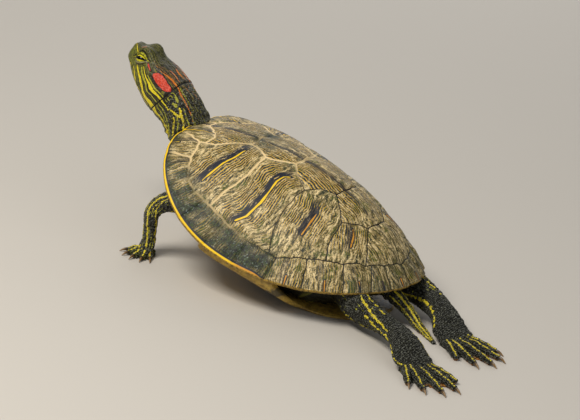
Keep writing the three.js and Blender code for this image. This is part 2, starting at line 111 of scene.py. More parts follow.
def turned(axis, degrees):
    """The 3 x 3 matrix of a right-hand turn about X, Y or Z."""
    c, s = math.cos(math.radians(degrees)), math.sin(math.radians(degrees))
    i, j = {"X": (1, 2), "Y": (2, 0), "Z": (0, 1)}[axis]
    m = np.eye(3)
    m[i, i] = m[j, j] = c
    m[i, j], m[j, i] = -s, s
    return m


# %% [markdown]
# ## From arrays to a mesh
# Blender keeps a mesh as flat lists: where its points are, which point each corner uses, and where each
# face starts. Faces could be added one by one, but whole arrays handed over with foreach_set are many
# times faster. Nearly every part is a tube of rings, so closing one has a function of its own.

# %% Meshes
def new_mesh(name, points, faces):
    """A smooth mesh object from points in millimetres and arrays of faces, each with its own number of
    corners."""
    faces = [np.asarray(f, int) for f in faces]
    corners = np.concatenate([f.ravel() for f in faces])
    sizes = np.concatenate([np.full(len(f), f.shape[1]) for f in faces])
    mesh = bpy.data.meshes.new(name)
    mesh.vertices.add(len(points))
    mesh.vertices.foreach_set("co", to_row(points).astype(np.float32).ravel())
    mesh.loops.add(len(corners))
    mesh.loops.foreach_set("vertex_index", corners.astype(np.int32))
    mesh.polygons.add(len(sizes))
    mesh.polygons.foreach_set("loop_start", (np.cumsum(sizes) - sizes).astype(np.int32))
    mesh.update(calc_edges=True)
    mesh.shade_smooth()
    made = bpy.data.objects.new(name, mesh)
    scene.collection.objects.link(made)
    return made


def map_on(piece, name, corners):
    """A UV map with two numbers for each corner, in face order."""
    layer = piece.data.uv_layers.new(name=name, do_init=False)
    layer.uv.foreach_set("vector", np.asarray(corners, np.float32).ravel())


def number_on(piece, name, values):
    """One number for each vertex, as an attribute that materials read by name."""
    layer = piece.data.attributes.new(name, "FLOAT", "POINT")
    layer.data.foreach_set("value", np.asarray(values, np.float32))


def welded(points, faces):
    """The same faces with coinciding points made one."""
    keys = np.round(points, 3)
    _, first, again = np.unique(keys, axis=0, return_index=True, return_inverse=True)
    return points[first], [again.ravel()[f] for f in faces]


def ring_faces(rings, sides, start=0):
    """Quads between successive closed rings of equal count, numbered ring by ring."""
    r, i = np.meshgrid(np.arange(rings - 1), np.arange(sides), indexing="ij")
    a = start + r * sides + i
    b = start + r * sides + (i + 1) % sides
    return np.stack([a, b, b + sides, a + sides], -1).reshape(-1, 4)


def fan_faces(ring, tip):
    """Triangles from each side of a closed ring to one point."""
    return np.stack([ring, np.roll(ring, -1), np.full(len(ring), tip)], -1)


def closed_tube(rings):
    """Points and faces of a solid through rings (count, sides, 3), with its ends closed on their middles
    and its faces turned out."""
    count, sides = rings.shape[:2]
    points = np.concatenate([rings.reshape(-1, 3), rings[[0, -1]].mean(1)])
    first, last = np.arange(sides), (count - 1) * sides + np.arange(sides)
    quads = ring_faces(count, sides)
    caps = np.concatenate([fan_faces(first, len(points) - 2)[:, ::-1], fan_faces(last, len(points) - 1)])
    corner = points[quads]
    volume = np.einsum("ij,ij->i", corner[:, 0], np.cross(corner[:, 1], corner[:, 2])).sum()
    volume += np.einsum("ij,ij->i", corner[:, 0], np.cross(corner[:, 2], corner[:, 3])).sum()
    if volume < 0:
        quads, caps = quads[:, ::-1], caps[:, ::-1]
    return points, [quads, caps]


# %% [markdown]
# ## The shell's shape
# The carapace is a low dome over an oval rim that is squarer in front. Each point of it has a bearing
# from the middle, where 0 is over the neck, and a share of the way out to the rim. Every other part
# is set out from this dome, so it comes first.

# %% The dome
LENGTH, WIDTH, DOME_HEIGHT = 200.0, 162.0, 61.0
RIM_RISE_FRONT, RIM_RISE_REAR = 42.0, 18.0
THICKNESS = 3.4
FRONT_SQUARENESS, REAR_SQUARENESS, FRONT_BIAS = 3.0, 2.05, 0.058
SHELL_PITCH, SHELL_HEIGHT = 10.0, 30.4
SHELL_TURN = turned("X", -SHELL_PITCH)
# Bearings of the seams between the marginals, from the nuchal's edge to the tail.
SEAMS = np.array([0.045, 0.237, 0.512, 0.77, 1.0, 1.27, 1.57, 1.89, 2.22, 2.548, 2.765, 2.935, np.pi])
TOOTH_DEPTH = 0.014


def rim_reach(bearing):
    """Distance from the middle to the rim: a superellipse, wider in front, with shallow notches at the rear
    seams."""
    c, s = np.cos(bearing), np.sin(bearing)
    square = np.where(c > 0, FRONT_SQUARENESS, REAR_SQUARENESS)
    half_wide = WIDTH / 2 * (1 + FRONT_BIAS * c)
    reach = (np.abs(c / (LENGTH / 2)) ** square + np.abs(s / half_wide) ** square) ** (-1 / square)
    turn = np.abs(np.angle(np.exp(1j * np.asarray(bearing))))
    nearest = np.abs(turn[..., None] - SEAMS).min(-1)
    return reach * (1 - TOOTH_DEPTH * ease(turn, 1.9, 2.5) * (1 - ease(nearest, 0, 0.06)))


def dome_at(x, y, drop=0.0):
    """Height of the dome over a point of the plan. The rim rises in front and behind, and the dome adds (1
    - share to the 1.9) to the 0.96 of its height."""
    bearing = np.arctan2(x, -y)
    share = np.clip(np.hypot(x, y) / rim_reach(bearing), 0, 1)
    fore = np.cos(bearing) * rim_reach(bearing) / (LENGTH / 2)
    rise = np.where(fore > 0, RIM_RISE_FRONT * np.abs(fore) ** 2.2, RIM_RISE_REAR * fore**2)
    lift = DOME_HEIGHT * (1 - FRONT_BIAS * y / LENGTH) * (1 - share**1.9) ** 0.96
    return rise * share**2 + lift - drop


def on_rim(bearing, share=1.0, drop=0.0):
    """Points of the dome, by bearing and share."""
    reach = rim_reach(bearing) * share
    x, y = np.sin(bearing) * reach, -np.cos(bearing) * reach
    return np.stack([x, y, dome_at(x, y, drop)], -1)


def dome_normal(x, y, step=0.5):
    """Outward normal of the dome, from its slope across one millimetre."""
    slope_x = (dome_at(x + step, y) - dome_at(x - step, y)) / (2 * step)
    slope_y = (dome_at(x, y + step) - dome_at(x, y - step)) / (2 * step)
    return unit(np.stack([-slope_x, -slope_y, np.ones_like(slope_x)], -1))


def from_shell(points):
    """From the shell's own level place to the pitched one."""
    return points @ SHELL_TURN.T + [0, 0, SHELL_HEIGHT]


# The frame's origin is under the middle of the whole animal, so the shell's box gives the shift.
low, high = (np.array(corner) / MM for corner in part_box("carapace"))
rim_line = from_shell(on_rim(np.linspace(-np.pi, np.pi, 721)))
SHIFT = np.array([(low[0] + high[0]) / 2, low[1] - rim_line[:, 1].min(), 0])


def to_row(points):
    """From millimetres about the shell's middle to metres in the frame."""
    return (points + SHIFT) * MM


print("shift, mm:", SHIFT.round(2))

# %% [markdown]
# ## The camera
# The animal is seen from behind its left side and a little above, where the pattern of the shell, the
# stripes and the raised head all show. A close camera would swell the near parts. A far one with a long
# lens keeps their proportions, and a slight tilt lets the back climb across the view. It comes early so
# that each piece can be looked at as soon as it is made.

# %% Camera
IMAGE_WIDTH, IMAGE_HEIGHT = 580, 420
PIXELS_PER_MM = 1.40702
SHELL_MIDDLE_AT = np.array([292.592, 238.982])  # pixels from the top left
VIEW_RIGHT = unit(np.array([-0.5324, 0.831, 0.1611]))
VIEW_BACK = unit(np.array([0.8188, 0.4573, 0.3472]))
VIEW_UP = np.cross(VIEW_BACK, VIEW_RIGHT)
CAMERA_AWAY = 7000.0
SENSOR = 36.0
CLIP_NEAR, CLIP_FAR = 0.5, 60  # metres

aim = np.array([0, 0, SHELL_HEIGHT])
aim = aim + VIEW_RIGHT * (IMAGE_WIDTH / 2 - SHELL_MIDDLE_AT[0]) / PIXELS_PER_MM
aim = aim - VIEW_UP * (IMAGE_HEIGHT / 2 - SHELL_MIDDLE_AT[1]) / PIXELS_PER_MM
camera = bpy.data.objects.new("camera", bpy.data.cameras.new("camera"))
camera.data.sensor_width = SENSOR
camera.data.lens = SENSOR * CAMERA_AWAY * PIXELS_PER_MM / IMAGE_WIDTH
camera.data.clip_start, camera.data.clip_end = CLIP_NEAR, CLIP_FAR
pose = np.eye(4)
pose[:3, 0], pose[:3, 1], pose[:3, 2] = VIEW_RIGHT, VIEW_UP, VIEW_BACK
pose[:3, 3] = to_row(aim + VIEW_BACK * CAMERA_AWAY)
camera.matrix_world = Matrix(pose.tolist())
scene.collection.objects.link(camera)
scene.camera = camera
print("lens, mm:", round(camera.data.lens, 1))

# %% [markdown]
# ## The scutes
# A slider's shell is covered by thin plates of horn: five vertebrals down the back, four costals to
# each side, a small nuchal over the neck, and twelve marginals round each side of the rim. One
# smooth dome with painted lines would look like plastic, so every scute is a fan of rings from its
# oldest part out to its seams. Neighbours share the points of their seam, so the whole is one sheet.

# %% The seams, in plan
# Where seams meet, on the left side. Millimetres to the left, then back from the shell's middle.
CORNERS = {
    "nuchal": (4.5, -89.5), "neck_mid": (0, -89), "mid12": (0, -49.5), "mid23": (0, -9.8),
    "mid34": (0, 28.5), "mid45": (0, 59), "tail_mid": (0, 86.8), "v1_c1_rim": (33.6, -73.8),
    "v12_c1": (15.5, -47.5), "v2_c12": (22.3, -31), "v23_c2": (12.9, -11.2), "v3_c23": (27.6, 9.2),
    "v34_c3": (13.1, 26.9), "v4_c34": (26, 44.2), "v45_c4": (10.6, 58.1), "c12_rim": (67.3, -37.5),
    "c23_rim": (68, 18.5), "c34_rim": (49.2, 54), "c4_v5_rim": (29.6, 75.2), "in1": (34.4, -77.8),
    "in2": (50, -72.7), "in3": (62.3, -63.9), "in4": (66.9, -43), "in5": (68.8, -21.3), "in6": (69.6, 0),
    "in7": (66.8, 25), "in8": (56.2, 42.6), "in9": (41.5, 64), "in10": (26.6, 77.6), "in11": (16.2, 82.5),
}
CORNERS.update({f"rim{k}": tuple(on_rim(b)[:2]) for k, b in enumerate(SEAMS)})
CORNERS["rim_mid"] = tuple(on_rim(0.0)[:2])
# Points that a seam passes through on its way.
VIA = {
    ("nuchal", "v1_c1_rim"): [(10.5, -83), (23.3, -72.6)],
    ("v1_c1_rim", "v12_c1"): [(32.2, -67), (24, -59.5), (19, -54.5)],
    ("v12_c1", "mid12"): [(8, -48.3)],
    ("v12_c1", "v2_c12"): [(17.5, -39)],
    ("v2_c12", "v23_c2"): [(21.8, -25), (16.8, -17.5)],
    ("v23_c2", "mid23"): [(6, -10)],
    ("v23_c2", "v3_c23"): [(18, -6.5), (22, -1.5)],
    ("v3_c23", "v34_c3"): [(24, 11.5), (18.5, 16.5)],
    ("v34_c3", "mid34"): [(6, 28)],
    ("v34_c3", "v4_c34"): [(17, 33), (21.5, 38.5)],
    ("v4_c34", "v45_c4"): [(21.9, 48.3), (16.4, 52.7)],
    ("v45_c4", "mid45"): [(5, 58.6)],
    ("v45_c4", "c4_v5_rim"): [(19.1, 65.4)],
    ("v2_c12", "c12_rim"): [(35.7, -30), (46.3, -31), (58, -35.6)],
    ("v3_c23", "c23_rim"): [(33.6, 7.7), (46.8, 7.9), (58.2, 10.8)],
    ("v4_c34", "c34_rim"): [(31.6, 45.4), (42.8, 47.5)],
    ("in1", "in2"): [(42, -75)],
    ("in2", "in3"): [(56.5, -69)],
    ("in3", "in4"): [(66.3, -54.5)],
    ("in11", "tail_mid"): [(8, 85.6)],
}
SEAM_STEP = 1.4


def through(points, step):
    """A polyline's points at even steps, its ends kept."""
    points = np.asarray(points, float)
    run = np.concatenate([[0], np.cumsum(np.linalg.norm(np.diff(points, axis=0), axis=1))])
    places = np.linspace(0, run[-1], max(3, int(run[-1] / step) + 1))
    return np.stack([np.interp(places, run, points[:, k]) for k in range(2)], -1)


def seam(a, b):
    """Points of the seam from one corner to another. Along the rim it follows the rim, on the middle line
    it is straight, and elsewhere it wavers by half a millimetre."""
    if a > b:
        return seam(b, a)[::-1]
    if a.startswith("rim") and b.startswith("rim"):
        bearings = [0.0 if n == "rim_mid" else SEAMS[int(n[3:])] for n in (a, b)]
        steps = max(3, int(abs(bearings[1] - bearings[0]) * 90 / SEAM_STEP))
        return on_rim(np.linspace(*bearings, steps))[:, :2]
    middle = VIA.get((a, b)) or (VIA.get((b, a)) or [])[::-1]
    line = through([CORNERS[a], *middle, CORNERS[b]], SEAM_STEP)
    along = np.linspace(0, 1, len(line))
    flat = np.column_stack([line, np.zeros(len(line))])
    off_middle = np.abs(line[:, 0]).max() > 0.01
    waver = 0.5 * np.sin(np.pi * along) * ripple(flat, 9) * off_middle
    across = unit(np.gradient(line, axis=0))[:, ::-1] * [1, -1]
    smoothed = line.copy()
    for _ in range(6):
        smoothed[1:-1] = (smoothed[:-2] + 2 * smoothed[1:-1] + smoothed[2:]) / 4
    return smoothed + across * waver[:, None]


# %% The outlines of the scutes
# Each goes round from corner to corner. Those on the back list their left half from front to rear.
HALVED = {
    "nuchal": ["rim_mid", "rim0", "nuchal", "neck_mid"],
    "vertebral1": ["neck_mid", "nuchal", "v1_c1_rim", "v12_c1", "mid12"],
    "vertebral2": ["mid12", "v12_c1", "v2_c12", "v23_c2", "mid23"],
    "vertebral3": ["mid23", "v23_c2", "v3_c23", "v34_c3", "mid34"],
    "vertebral4": ["mid34", "v34_c3", "v4_c34", "v45_c4", "mid45"],
    "vertebral5": ["mid45", "v45_c4", "c4_v5_rim", "in10", "in11", "tail_mid"],
}
PAIRED = {
    "costal1": ["v1_c1_rim", "v12_c1", "v2_c12", "c12_rim", "in4", "in3", "in2", "in1"],
    "costal2": ["v2_c12", "v23_c2", "v3_c23", "c23_rim", "in6", "in5", "c12_rim"],
    "costal3": ["v3_c23", "v34_c3", "v4_c34", "c34_rim", "in8", "in7", "c23_rim"],
    "costal4": ["v4_c34", "v45_c4", "c4_v5_rim", "in9", "c34_rim"],
    "marginal1": ["rim0", "rim1", "in1", "v1_c1_rim", "nuchal"],
    "marginal2": ["rim1", "rim2", "in2", "in1"],
    "marginal3": ["rim2", "rim3", "in3", "in2"],
    "marginal4": ["rim3", "rim4", "in4", "in3"],
    "marginal5": ["rim4", "rim5", "in5", "c12_rim", "in4"],
    "marginal6": ["rim5", "rim6", "in6", "in5"],
    "marginal7": ["rim6", "rim7", "in7", "c23_rim", "in6"],
    "marginal8": ["rim7", "rim8", "in8", "in7"],
    "marginal9": ["rim8", "rim9", "in9", "c34_rim", "in8"],
    "marginal10": ["rim9", "rim10", "in10", "c4_v5_rim", "in9"],
    "marginal11": ["rim10", "rim11", "in11", "in10"],
    "marginal12": ["rim11", "rim12", "tail_mid", "in11"],
}


def chain(names):
    """The points along seams from name to name, and whether each stretch that starts at a point is on the
    rim."""
    stretches = [seam(a, b) for a, b in zip(names, names[1:])]
    on_edge = [a.startswith("rim") and b.startswith("rim") for a, b in zip(names, names[1:])]
    points = np.concatenate([s[:-1] for s in stretches] + [stretches[-1][-1:]])
    edge = np.concatenate([np.full(len(s) - 1, e) for s, e in zip(stretches, on_edge)])
    return points, edge


def outlines():
    """Every scute's closed outline in plan, with its rim stretches marked."""
    found = {}
    for name, names in HALVED.items():
        half, edge = chain(names)
        found[name] = np.concatenate([half, half[-2:0:-1] * [-1, 1]]), np.concatenate([edge, edge[::-1]])
    for name, names in PAIRED.items():
        points, edge = chain([*names, names[0]])
        found[name + "_left"] = points[:-1], edge
        found[name + "_right"] = points[:-1] * [-1, 1], edge
    return found


scute_outlines = outlines()
print("scutes:", len(scute_outlines))

# %% [markdown]
# ## Pattern on the horn
# A yellow bar crosses each costal, with fine dark lines beside it. The rim is edged in yellow, and algae
# grow where the shell stays wet. The pattern could be a painted picture, but that blurs close up. Here
# each point stores how far it is from a bar's or a seam's edge, in millimetres, and the material draws
# sharp lines from those distances.

# %% Bars
# A yellow bar crosses each costal. Points of its middle line, in plan, from the low end to the high.
BARS = {
    "costal1": [(59.8, -53.6), (52.8, -52), (42.9, -49.7), (35.4, -46.6), (22.9, -45)],
    "costal2": [(65.3, -15.8), (60.5, -11.1), (50.5, -8.8), (43.1, -9.3), (33.9, -10.4), (28.6, -9.2),
                (25.7, -5.1)],
    "costal3": [(50, 29.3), (42.1, 28.6), (34.7, 27.7), (31, 25)],
    "costal4": [(32, 60), (26, 56.5), (22.5, 52)],
}


def bar_places(name, points, outline):
    """How far each point of a scute is along and across its bar, in millimetres of its surface: straight
    axes laid on the scute, bent to the bar's own line."""
    stem = name.split("_")[0]
    side = -1 if name.endswith("right") else 1
    points = points * [side, 1, 1]
    if stem in BARS:
        line = np.array(BARS[stem], float)
    elif stem.startswith("marginal"):
        inner, outer = outline[np.argmin(np.hypot(*outline.T))], outline[np.argmax(np.hypot(*outline.T))]
        bearing = np.arctan2(*(outline.mean(0) * [side, -1]))
        reach = np.array([np.hypot(*outer), np.hypot(*inner)])
        line = np.column_stack([np.sin(bearing) * reach, -np.cos(bearing) * reach])
    else:
        line = np.array([(0, outline[:, 1].max()), (0, outline[:, 1].min())])
    spine = np.column_stack([line, dome_at(*line.T)])
    along = unit(spine[-1] - spine[0])
    middle = spine.mean(0)
    across = unit(np.cross(dome_normal(*middle[:2]), along))
    bend_at, bend = (spine - spine[0]) @ along, (spine - spine[0]) @ across
    u, v = (points - spine[0]) @ along, (points - spine[0]) @ across
    return np.column_stack([u, v - np.interp(u, bend_at, bend)]), bend_at[-1]


def from_segments(points, start, end):
    """Shortest distance from each point to straight segments: to the nearest place along each, then the
    least."""
    way = end - start
    gap = points[:, None] - start
    share = np.clip((gap * way).sum(-1) / np.maximum((way**2).sum(-1), 1e-9), 0, 1)
    return np.linalg.norm(gap - share[..., None] * way, axis=-1).min(1)


# %% Where the horn is painted
# Half widths in millimetres: of each bar, and of the yellow edge of the rim.
BAR_HALF = {"costal1": 0.85, "costal2": 0.95, "costal3": 0.7, "costal4": 0.65, "marginal1": 0.5}
BAR_HALF.update({f"marginal{k}": 0.5 for k in (2, 8, 9, 10, 11, 12)})
NO_BAR = -9
RIM_EDGE = 0.85
MEAN_REACH = 85  # from the shell's middle to its rim


def horn_paint(name, points, places, length):
    """For each point: how far from the edge of its bar, the strength of the fine lines and of the algae,
    and how pale a seam is there."""
    stem = name.split("_")[0]
    u, v = places.T
    x, y = np.abs(points[:, 0]), points[:, 1]
    marginal = stem.startswith("marginal")
    half = BAR_HALF.get(stem, NO_BAR)
    if marginal and stem != "marginal1":
        length = length * 0.35  # a marginal's bar is a short tick at the rim
    past = np.maximum(np.maximum(-u, u - length), 0)
    edge = np.hypot(v, past) - half * (0.75 + 0.35 * ripple(points, 12, 51))
    bearing = np.abs(np.arctan2(points[:, 0], -y))
    share = np.hypot(x, y) / rim_reach(bearing)
    from_rim = (1 - share) * MEAN_REACH
    behind = ease(bearing, 1.75, 2.3)
    edge = np.minimum(edge, from_rim - RIM_EDGE + 9 * behind)
    beside = ease(u, -9, 2) * (1 - ease(u, length - 2, length + 9))
    blotch_at = -9 if stem < "marginal2" or y.mean() > 20 else 9
    blotch = bump(v, blotch_at, 4) * ease(y, 10, 40) * ease(-u, -9, -4)
    lines = {"c": beside * np.where(v > 0, 1 - 0.8 * ease(v, 13, 22), 1 - 0.8 * ease(-v, 8, 15)),
             "n": 0.9 + 0 * u,
             "v": 1.1 * (1 - 0.6 * ease(y, 25, 75)) * (0.4 + 0.6 * ease(x, 1, 6)),
             "m": 0.5 + blotch}[stem[0]]
    lines = lines * (1 - 0.3 * ease(y, 10, 60))
    wet = ease(share, 0.8, 0.9) * ease(bearing, 0.5, 0.8) * (1 - ease(bearing, 1.75, 2.05))
    wet += 0.9 * bump(np.hypot(x - 10, (y + 46) * 0.8), 0, 9)
    wet += 0.5 * ease(share, 0.9, 1) * (1 - ease(bearing, 0.35, 0.6))
    wet += 0.4 * ease(y, 60, 90) * ease(share, 0.7, 0.9)
    wet += 0.8 * ease(share, 0.93, 1) * bump(bearing, 0.62, 0.25)
    wet = np.clip(wet * (0.95 + 0.45 * ripple(points, 24, 52) + 0.3 * ripple(points, 9, 53)), 0, 1)
    return np.column_stack([edge, lines, wet, 1 - ease(y, -20, 15)])


# %% [markdown]
# ## Fans of horn
# A growing scute adds a ring at its seams each year, so rings that shrink towards its oldest part
# are both the real structure and a good mesh. The relief is real too: a groove along each seam, faint
# rings, and a low keel on the vertebrals. It could be left to bump in the material, but the grooves
# show at the outline, so they are shape.

# %% One scute
GROOVE_DEPTH, GROOVE_WIDTH = 0.5, 0.75
RING_SPACING, RING_HEIGHT = 3.2, 0.09
KEEL_HEIGHT, KEEL_WIDTH = 1.3, 5.5
# The first rings in from a seam, in millimetres, and how far apart the others are.
FIRST_RINGS, NEXT_RINGS = np.array([0, 0.3, 0.65, 1.05, 1.6, 2.3, 3.1]), 1.15
MIDDLES = {"vertebral1": np.array([0, -59.0])}  # from where its whole outline is in view


def relief(name, points, to_seam):
    """How far the horn stands out of the smooth dome: growth rings and a slight swell, less a groove at the
    seam. The keel is added by scute, not here."""
    height = -GROOVE_DEPTH * np.exp(-((to_seam / GROOVE_WIDTH) ** 2))
    wander = ripple(points, 26) * 1.1
    rings = np.cos(2 * np.pi * (to_seam + wander) / RING_SPACING)
    fading = ease(to_seam, 0.8, 2.5) * (1 - ease(to_seam, 9, 16))
    height = height + RING_HEIGHT * rings * fading
    height = height + 0.55 * ease(to_seam, 0, 9)
    height = height + (0.3 * ripple(points, 17, 3) + 0.12 * ripple(points, 6, 5)) * ease(to_seam, 0.3, 3)
    return height


def keel(points):
    """A low ridge down the back that swells towards the rear of each vertebral."""
    ends = np.array([-89, -49.5, -9.8, 28.5, 59, 86.8])
    place = np.interp(points[:, 1], ends, np.arange(6))
    swell = 0.45 + 0.55 * ease(place % 1, 0.35, 0.95)
    inside = ease(points[:, 1], -89, -70) * (1 - ease(points[:, 1], 70, 87))
    return KEEL_HEIGHT * swell * inside * bump(points[:, 0], 0, KEEL_WIDTH)


def scute(name):
    """One scute's points, faces, bar places and share of the way from its oldest part to its seam."""
    outline, on_edge = scute_outlines[name]
    area = np.cross(outline, np.roll(outline, -1, 0)).sum()
    if area < 0:
        outline, on_edge = outline[::-1], np.roll(on_edge[::-1], -1)
    middle = MIDDLES.get(name, outline.mean(0))
    size = np.hypot(*(outline - middle).T).mean()
    edge_steps = FIRST_RINGS / size
    inner_steps = np.arange(edge_steps[-1] + NEXT_RINGS / size, 0.985, NEXT_RINGS / size)
    shares = 1 - np.concatenate([edge_steps, inner_steps])
    plan = middle + (outline - middle) * shares[:, None, None]
    plan = np.concatenate([plan.reshape(-1, 2), middle[None]])
    points = np.column_stack([plan, dome_at(*plan.T)])
    closed = np.concatenate([outline, outline[:1]])
    loop = np.column_stack([closed, dome_at(*closed.T)])
    seams = np.flatnonzero(~on_edge)
    to_seam = from_segments(points, loop[seams], loop[seams + 1])
    out = dome_normal(*plan.T)
    raised = points + out * (relief(name, points, to_seam) + keel(points))[:, None]
    count, rings = len(outline), len(shares)
    quads = ring_faces(rings, count)
    tip = len(points) - 1
    caps = fan_faces((rings - 1) * count + np.arange(count), tip)
    places, length = bar_places(name, points, outline)
    return raised, [quads,
                    caps], np.column_stack([places, to_seam, horn_paint(name, points, places, length)])


# %% [markdown]
# ## The carapace
# The real shell is bone under horn, a few millimetres thick and open below. Solidify would give it an
# even wall, but its lip is rounded and its inside is a plain bowl. So the sheet of scutes is closed by
# rings of its own: three turn under the lip, and the rest are the bowl.

# %% The carapace
# Rings of the lip: the share of the way out, and how far below the rim.
LIP = [(1.0015, 0.7), (0.998, 1.7), (0.985, 2.4)]
INNER_SHARES = [0.96, 0.91, 0.84, 0.74, 0.62, 0.48, 0.34, 0.2, 0.08]
WALL_INSET = 0.035
# What the underside stores: far from every bar and seam, and 2 for how pale its seams are, which marks it.
UNDERSIDE = [60.0, 60.0, 20.0, 9.0, 0.0, 0.0, 2.0, 3.5]


def make_carapace():
    """All the scutes as one sheet, closed underneath by a rounded lip and the bowl of the shell's inside."""
    points, quads, caps, paints, start = [], [], [], [], 0
    for name in scute_outlines:
        own, (own_quads, own_caps), paint_at = scute(name)
        kind = 0.0 if name.startswith("costal") else 1.0 if name.startswith(("vert", "nuchal")) else 2.0
        points.append(own)
        quads.append(own_quads + start)
        caps.append(own_caps + start)
        tone = np.full((len(own), 1), kind + 0.9 * random.random())
        paints.append(np.column_stack([paint_at, tone]))
        start += len(own)
    points, paints = np.concatenate(points), np.concatenate(paints)
    quads, caps = np.concatenate(quads), np.concatenate(caps)
    corners = np.concatenate([quads.ravel(), caps.ravel()])
    paints = paints[corners]
    plan = points[corners][:, :2]
    points, (quads, caps) = welded(points, [quads, caps])
    edges = np.concatenate([quads[:, [0, 1]], quads[:, [1, 2]], quads[:, [2, 3]], quads[:, [3, 0]]])
    pairs, uses = np.unique(np.sort(edges, 1), axis=0, return_counts=True)
    rim_points = np.setdiff1d(pairs[uses == 1], caps)
    bearings = np.arctan2(points[rim_points, 0], -points[rim_points, 1])
    rim_points = rim_points[np.argsort(bearings)]
    bearings = np.sort(bearings)
    rim = points[rim_points]
    rings = [rim * [s, s, 1] - [0, 0, drop] for s, drop in LIP]
    for share in INNER_SHARES:
        inner = on_rim(bearings, share, THICKNESS)
        rings.append(inner * [1 - WALL_INSET * share, 1 - WALL_INSET * share, 1])
    count = len(rim)
    under = np.concatenate([*rings, [[0, 0, dome_at(0, 0) - THICKNESS]]])
    numbers = np.concatenate([rim_points, len(points) + np.arange(len(under))])
    strip = ring_faces(len(rings) + 1, count)[:, ::-1]
    cap = fan_faces(len(rings) * count + np.arange(count), len(numbers) - 1)[:, ::-1]
    reach = np.concatenate([np.full(count, 1.0), np.repeat(np.linspace(0.97, 0.06, len(rings)), count),
                            [0.0]])
    turn = np.concatenate([np.tile(bearings, len(rings) + 1), [0.0]])
    disc = np.column_stack([np.sin(turn), -np.cos(turn)]) * reach[:, None]
    slots = np.concatenate([strip.ravel(), cap.ravel()])
    all_points = np.concatenate([points, under])
    made = new_mesh("carapace_horn", from_shell(all_points), [quads, caps, numbers[strip], numbers[cap]])
    paints = np.concatenate([paints, np.tile(UNDERSIDE, (len(slots), 1))])
    for name, columns in {"Bar": [0, 1], "Horn": [2, 7], "Paint": [3, 4], "Stain": [5, 6]}.items():
        map_on(made, name, paints[:, columns])
    outer = np.column_stack([0.01 + (plan[:, 0] + 86) / 172 * 0.6, 0.01 + (plan[:, 1] + 102) / 204 * 0.98])
    inner = np.column_stack([0.81 + disc[slots, 0] * 0.18, 0.5 + disc[slots, 1] * 0.48])
    map_on(made, "OFBake", np.concatenate([outer, inner]))
    return made


carapace = make_carapace()
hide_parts("carapace")
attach(carapace, "root")
print("carapace:", len(carapace.data.polygons), "faces")

# %% [markdown]
# ## The body's plan
# A turtle's head, neck, limbs and tail are near enough to tubes that bend along smooth paths, flatter
# or rounder as they go. Each path is listed from inside the shell outwards, and its table gives the
# half width and half height on the way. The same numbers shape the skin and place its markings.

# %% Paths
def curve(points, count):
    """Even points on a centripetal Catmull-Rom curve: between two points a cubic, whose end slopes come
    from their neighbours and are timed by the square root of the distances."""
    p = np.asarray(points, float)
    p = np.concatenate([[2 * p[0] - p[1]], p, [2 * p[-1] - p[-2]]])
    gap = np.sqrt(np.linalg.norm(np.diff(p, axis=0), axis=1))[:, None]
    d0, d1, d2 = gap[:-2], gap[1:-1], gap[2:]
    x0, x1, x2, x3 = p[:-3], p[1:-2], p[2:-1], p[3:]
    t1 = ((x1 - x0) / d0 - (x2 - x0) / (d0 + d1) + (x2 - x1) / d1) * d1
    t2 = ((x2 - x1) / d1 - (x3 - x1) / (d1 + d2) + (x3 - x2) / d2) * d1
    t = np.linspace(0, 1, 60)[:, None, None]
    line = x1 + t1 * t + (3 * (x2 - x1) - 2 * t1 - t2) * t**2 + (2 * (x1 - x2) + t1 + t2) * t**3
    line = line.transpose(1, 0, 2).reshape(-1, 3)
    run = np.concatenate([[0], np.cumsum(np.linalg.norm(np.diff(line, axis=0), axis=1))])
    even = np.linspace(0, run[-1], count)
    return np.stack([np.interp(even, run, line[:, k]) for k in range(3)], -1), run[-1]


def tube_plan(path, across, wide, high, square=2.2, count=240):
    """Samples along a path: place, direction, the way its width runs, the way up, and the half sizes."""
    at, length = curve(path, count)
    t = np.linspace(0, 1, count)
    along = unit(np.gradient(at, axis=0))
    cross = across(t) * np.ones((count, 1))
    side = unit(cross - (cross * along).sum(-1, keepdims=True) * along)
    return {"t": t, "at": at, "along": along, "side": side, "up": np.cross(side, along),
            "wide": wide(t), "high": high(t), "square": square, "length": length}


def rings_along(plan, sides, step):
    """Superellipse rings at even steps: each point is (|cos|^n + |sin|^n) to the -1/n of the way out."""
    keep = np.linspace(0, len(plan["t"]) - 1, max(4, int(plan["length"] / step))).round().astype(int)
    angle = 2 * np.pi * (np.arange(sides) + 0.5) / sides
    c, s, n = np.cos(angle), np.sin(angle), plan["square"]
    reach = (np.abs(c) ** n + np.abs(s) ** n) ** (-1 / n)
    wide, high = plan["wide"][keep, None] * c * reach, plan["high"][keep, None] * s * reach
    at, side, up = (plan[key][keep, None] for key in ("at", "side", "up"))
    return at + side * wide[..., None] + up * high[..., None]


PAST_END = 3  # millimetres past a tube's end that count as one of its half widths
BATCH = 4000  # points at a time, so that the table of distances stays small


def place_on(plan, points):
    """Where points lie about a tube: share along, angle round it in degrees, and how far out as a share of
    its surface."""
    out = np.empty((len(points), 3))
    for start in range(0, len(points), BATCH):
        part = points[start:start + BATCH]
        near = ((part[:, None] - plan["at"]) ** 2).sum(-1).argmin(1)
        gap = part - plan["at"][near]
        x = (gap * plan["side"][near]).sum(-1) / plan["wide"][near]
        y = (gap * plan["up"][near]).sum(-1) / plan["high"][near]
        past = np.abs((gap * plan["along"][near]).sum(-1)) / PAST_END
        out[start:start
            + BATCH] = np.column_stack([plan["t"][near], np.degrees(np.arctan2(y, x)),
                                        np.hypot(x, y) + past])
    return out


# %% [markdown]
# ## The pose
# The neck climbs out of the shell, the arms prop the body, and the legs trail behind with the tail
# between them. A neutral body could be posed by a skeleton, but this pose never changes, so the paths
# are simply drawn in it. Left and right share a path where they match and are mirrored.

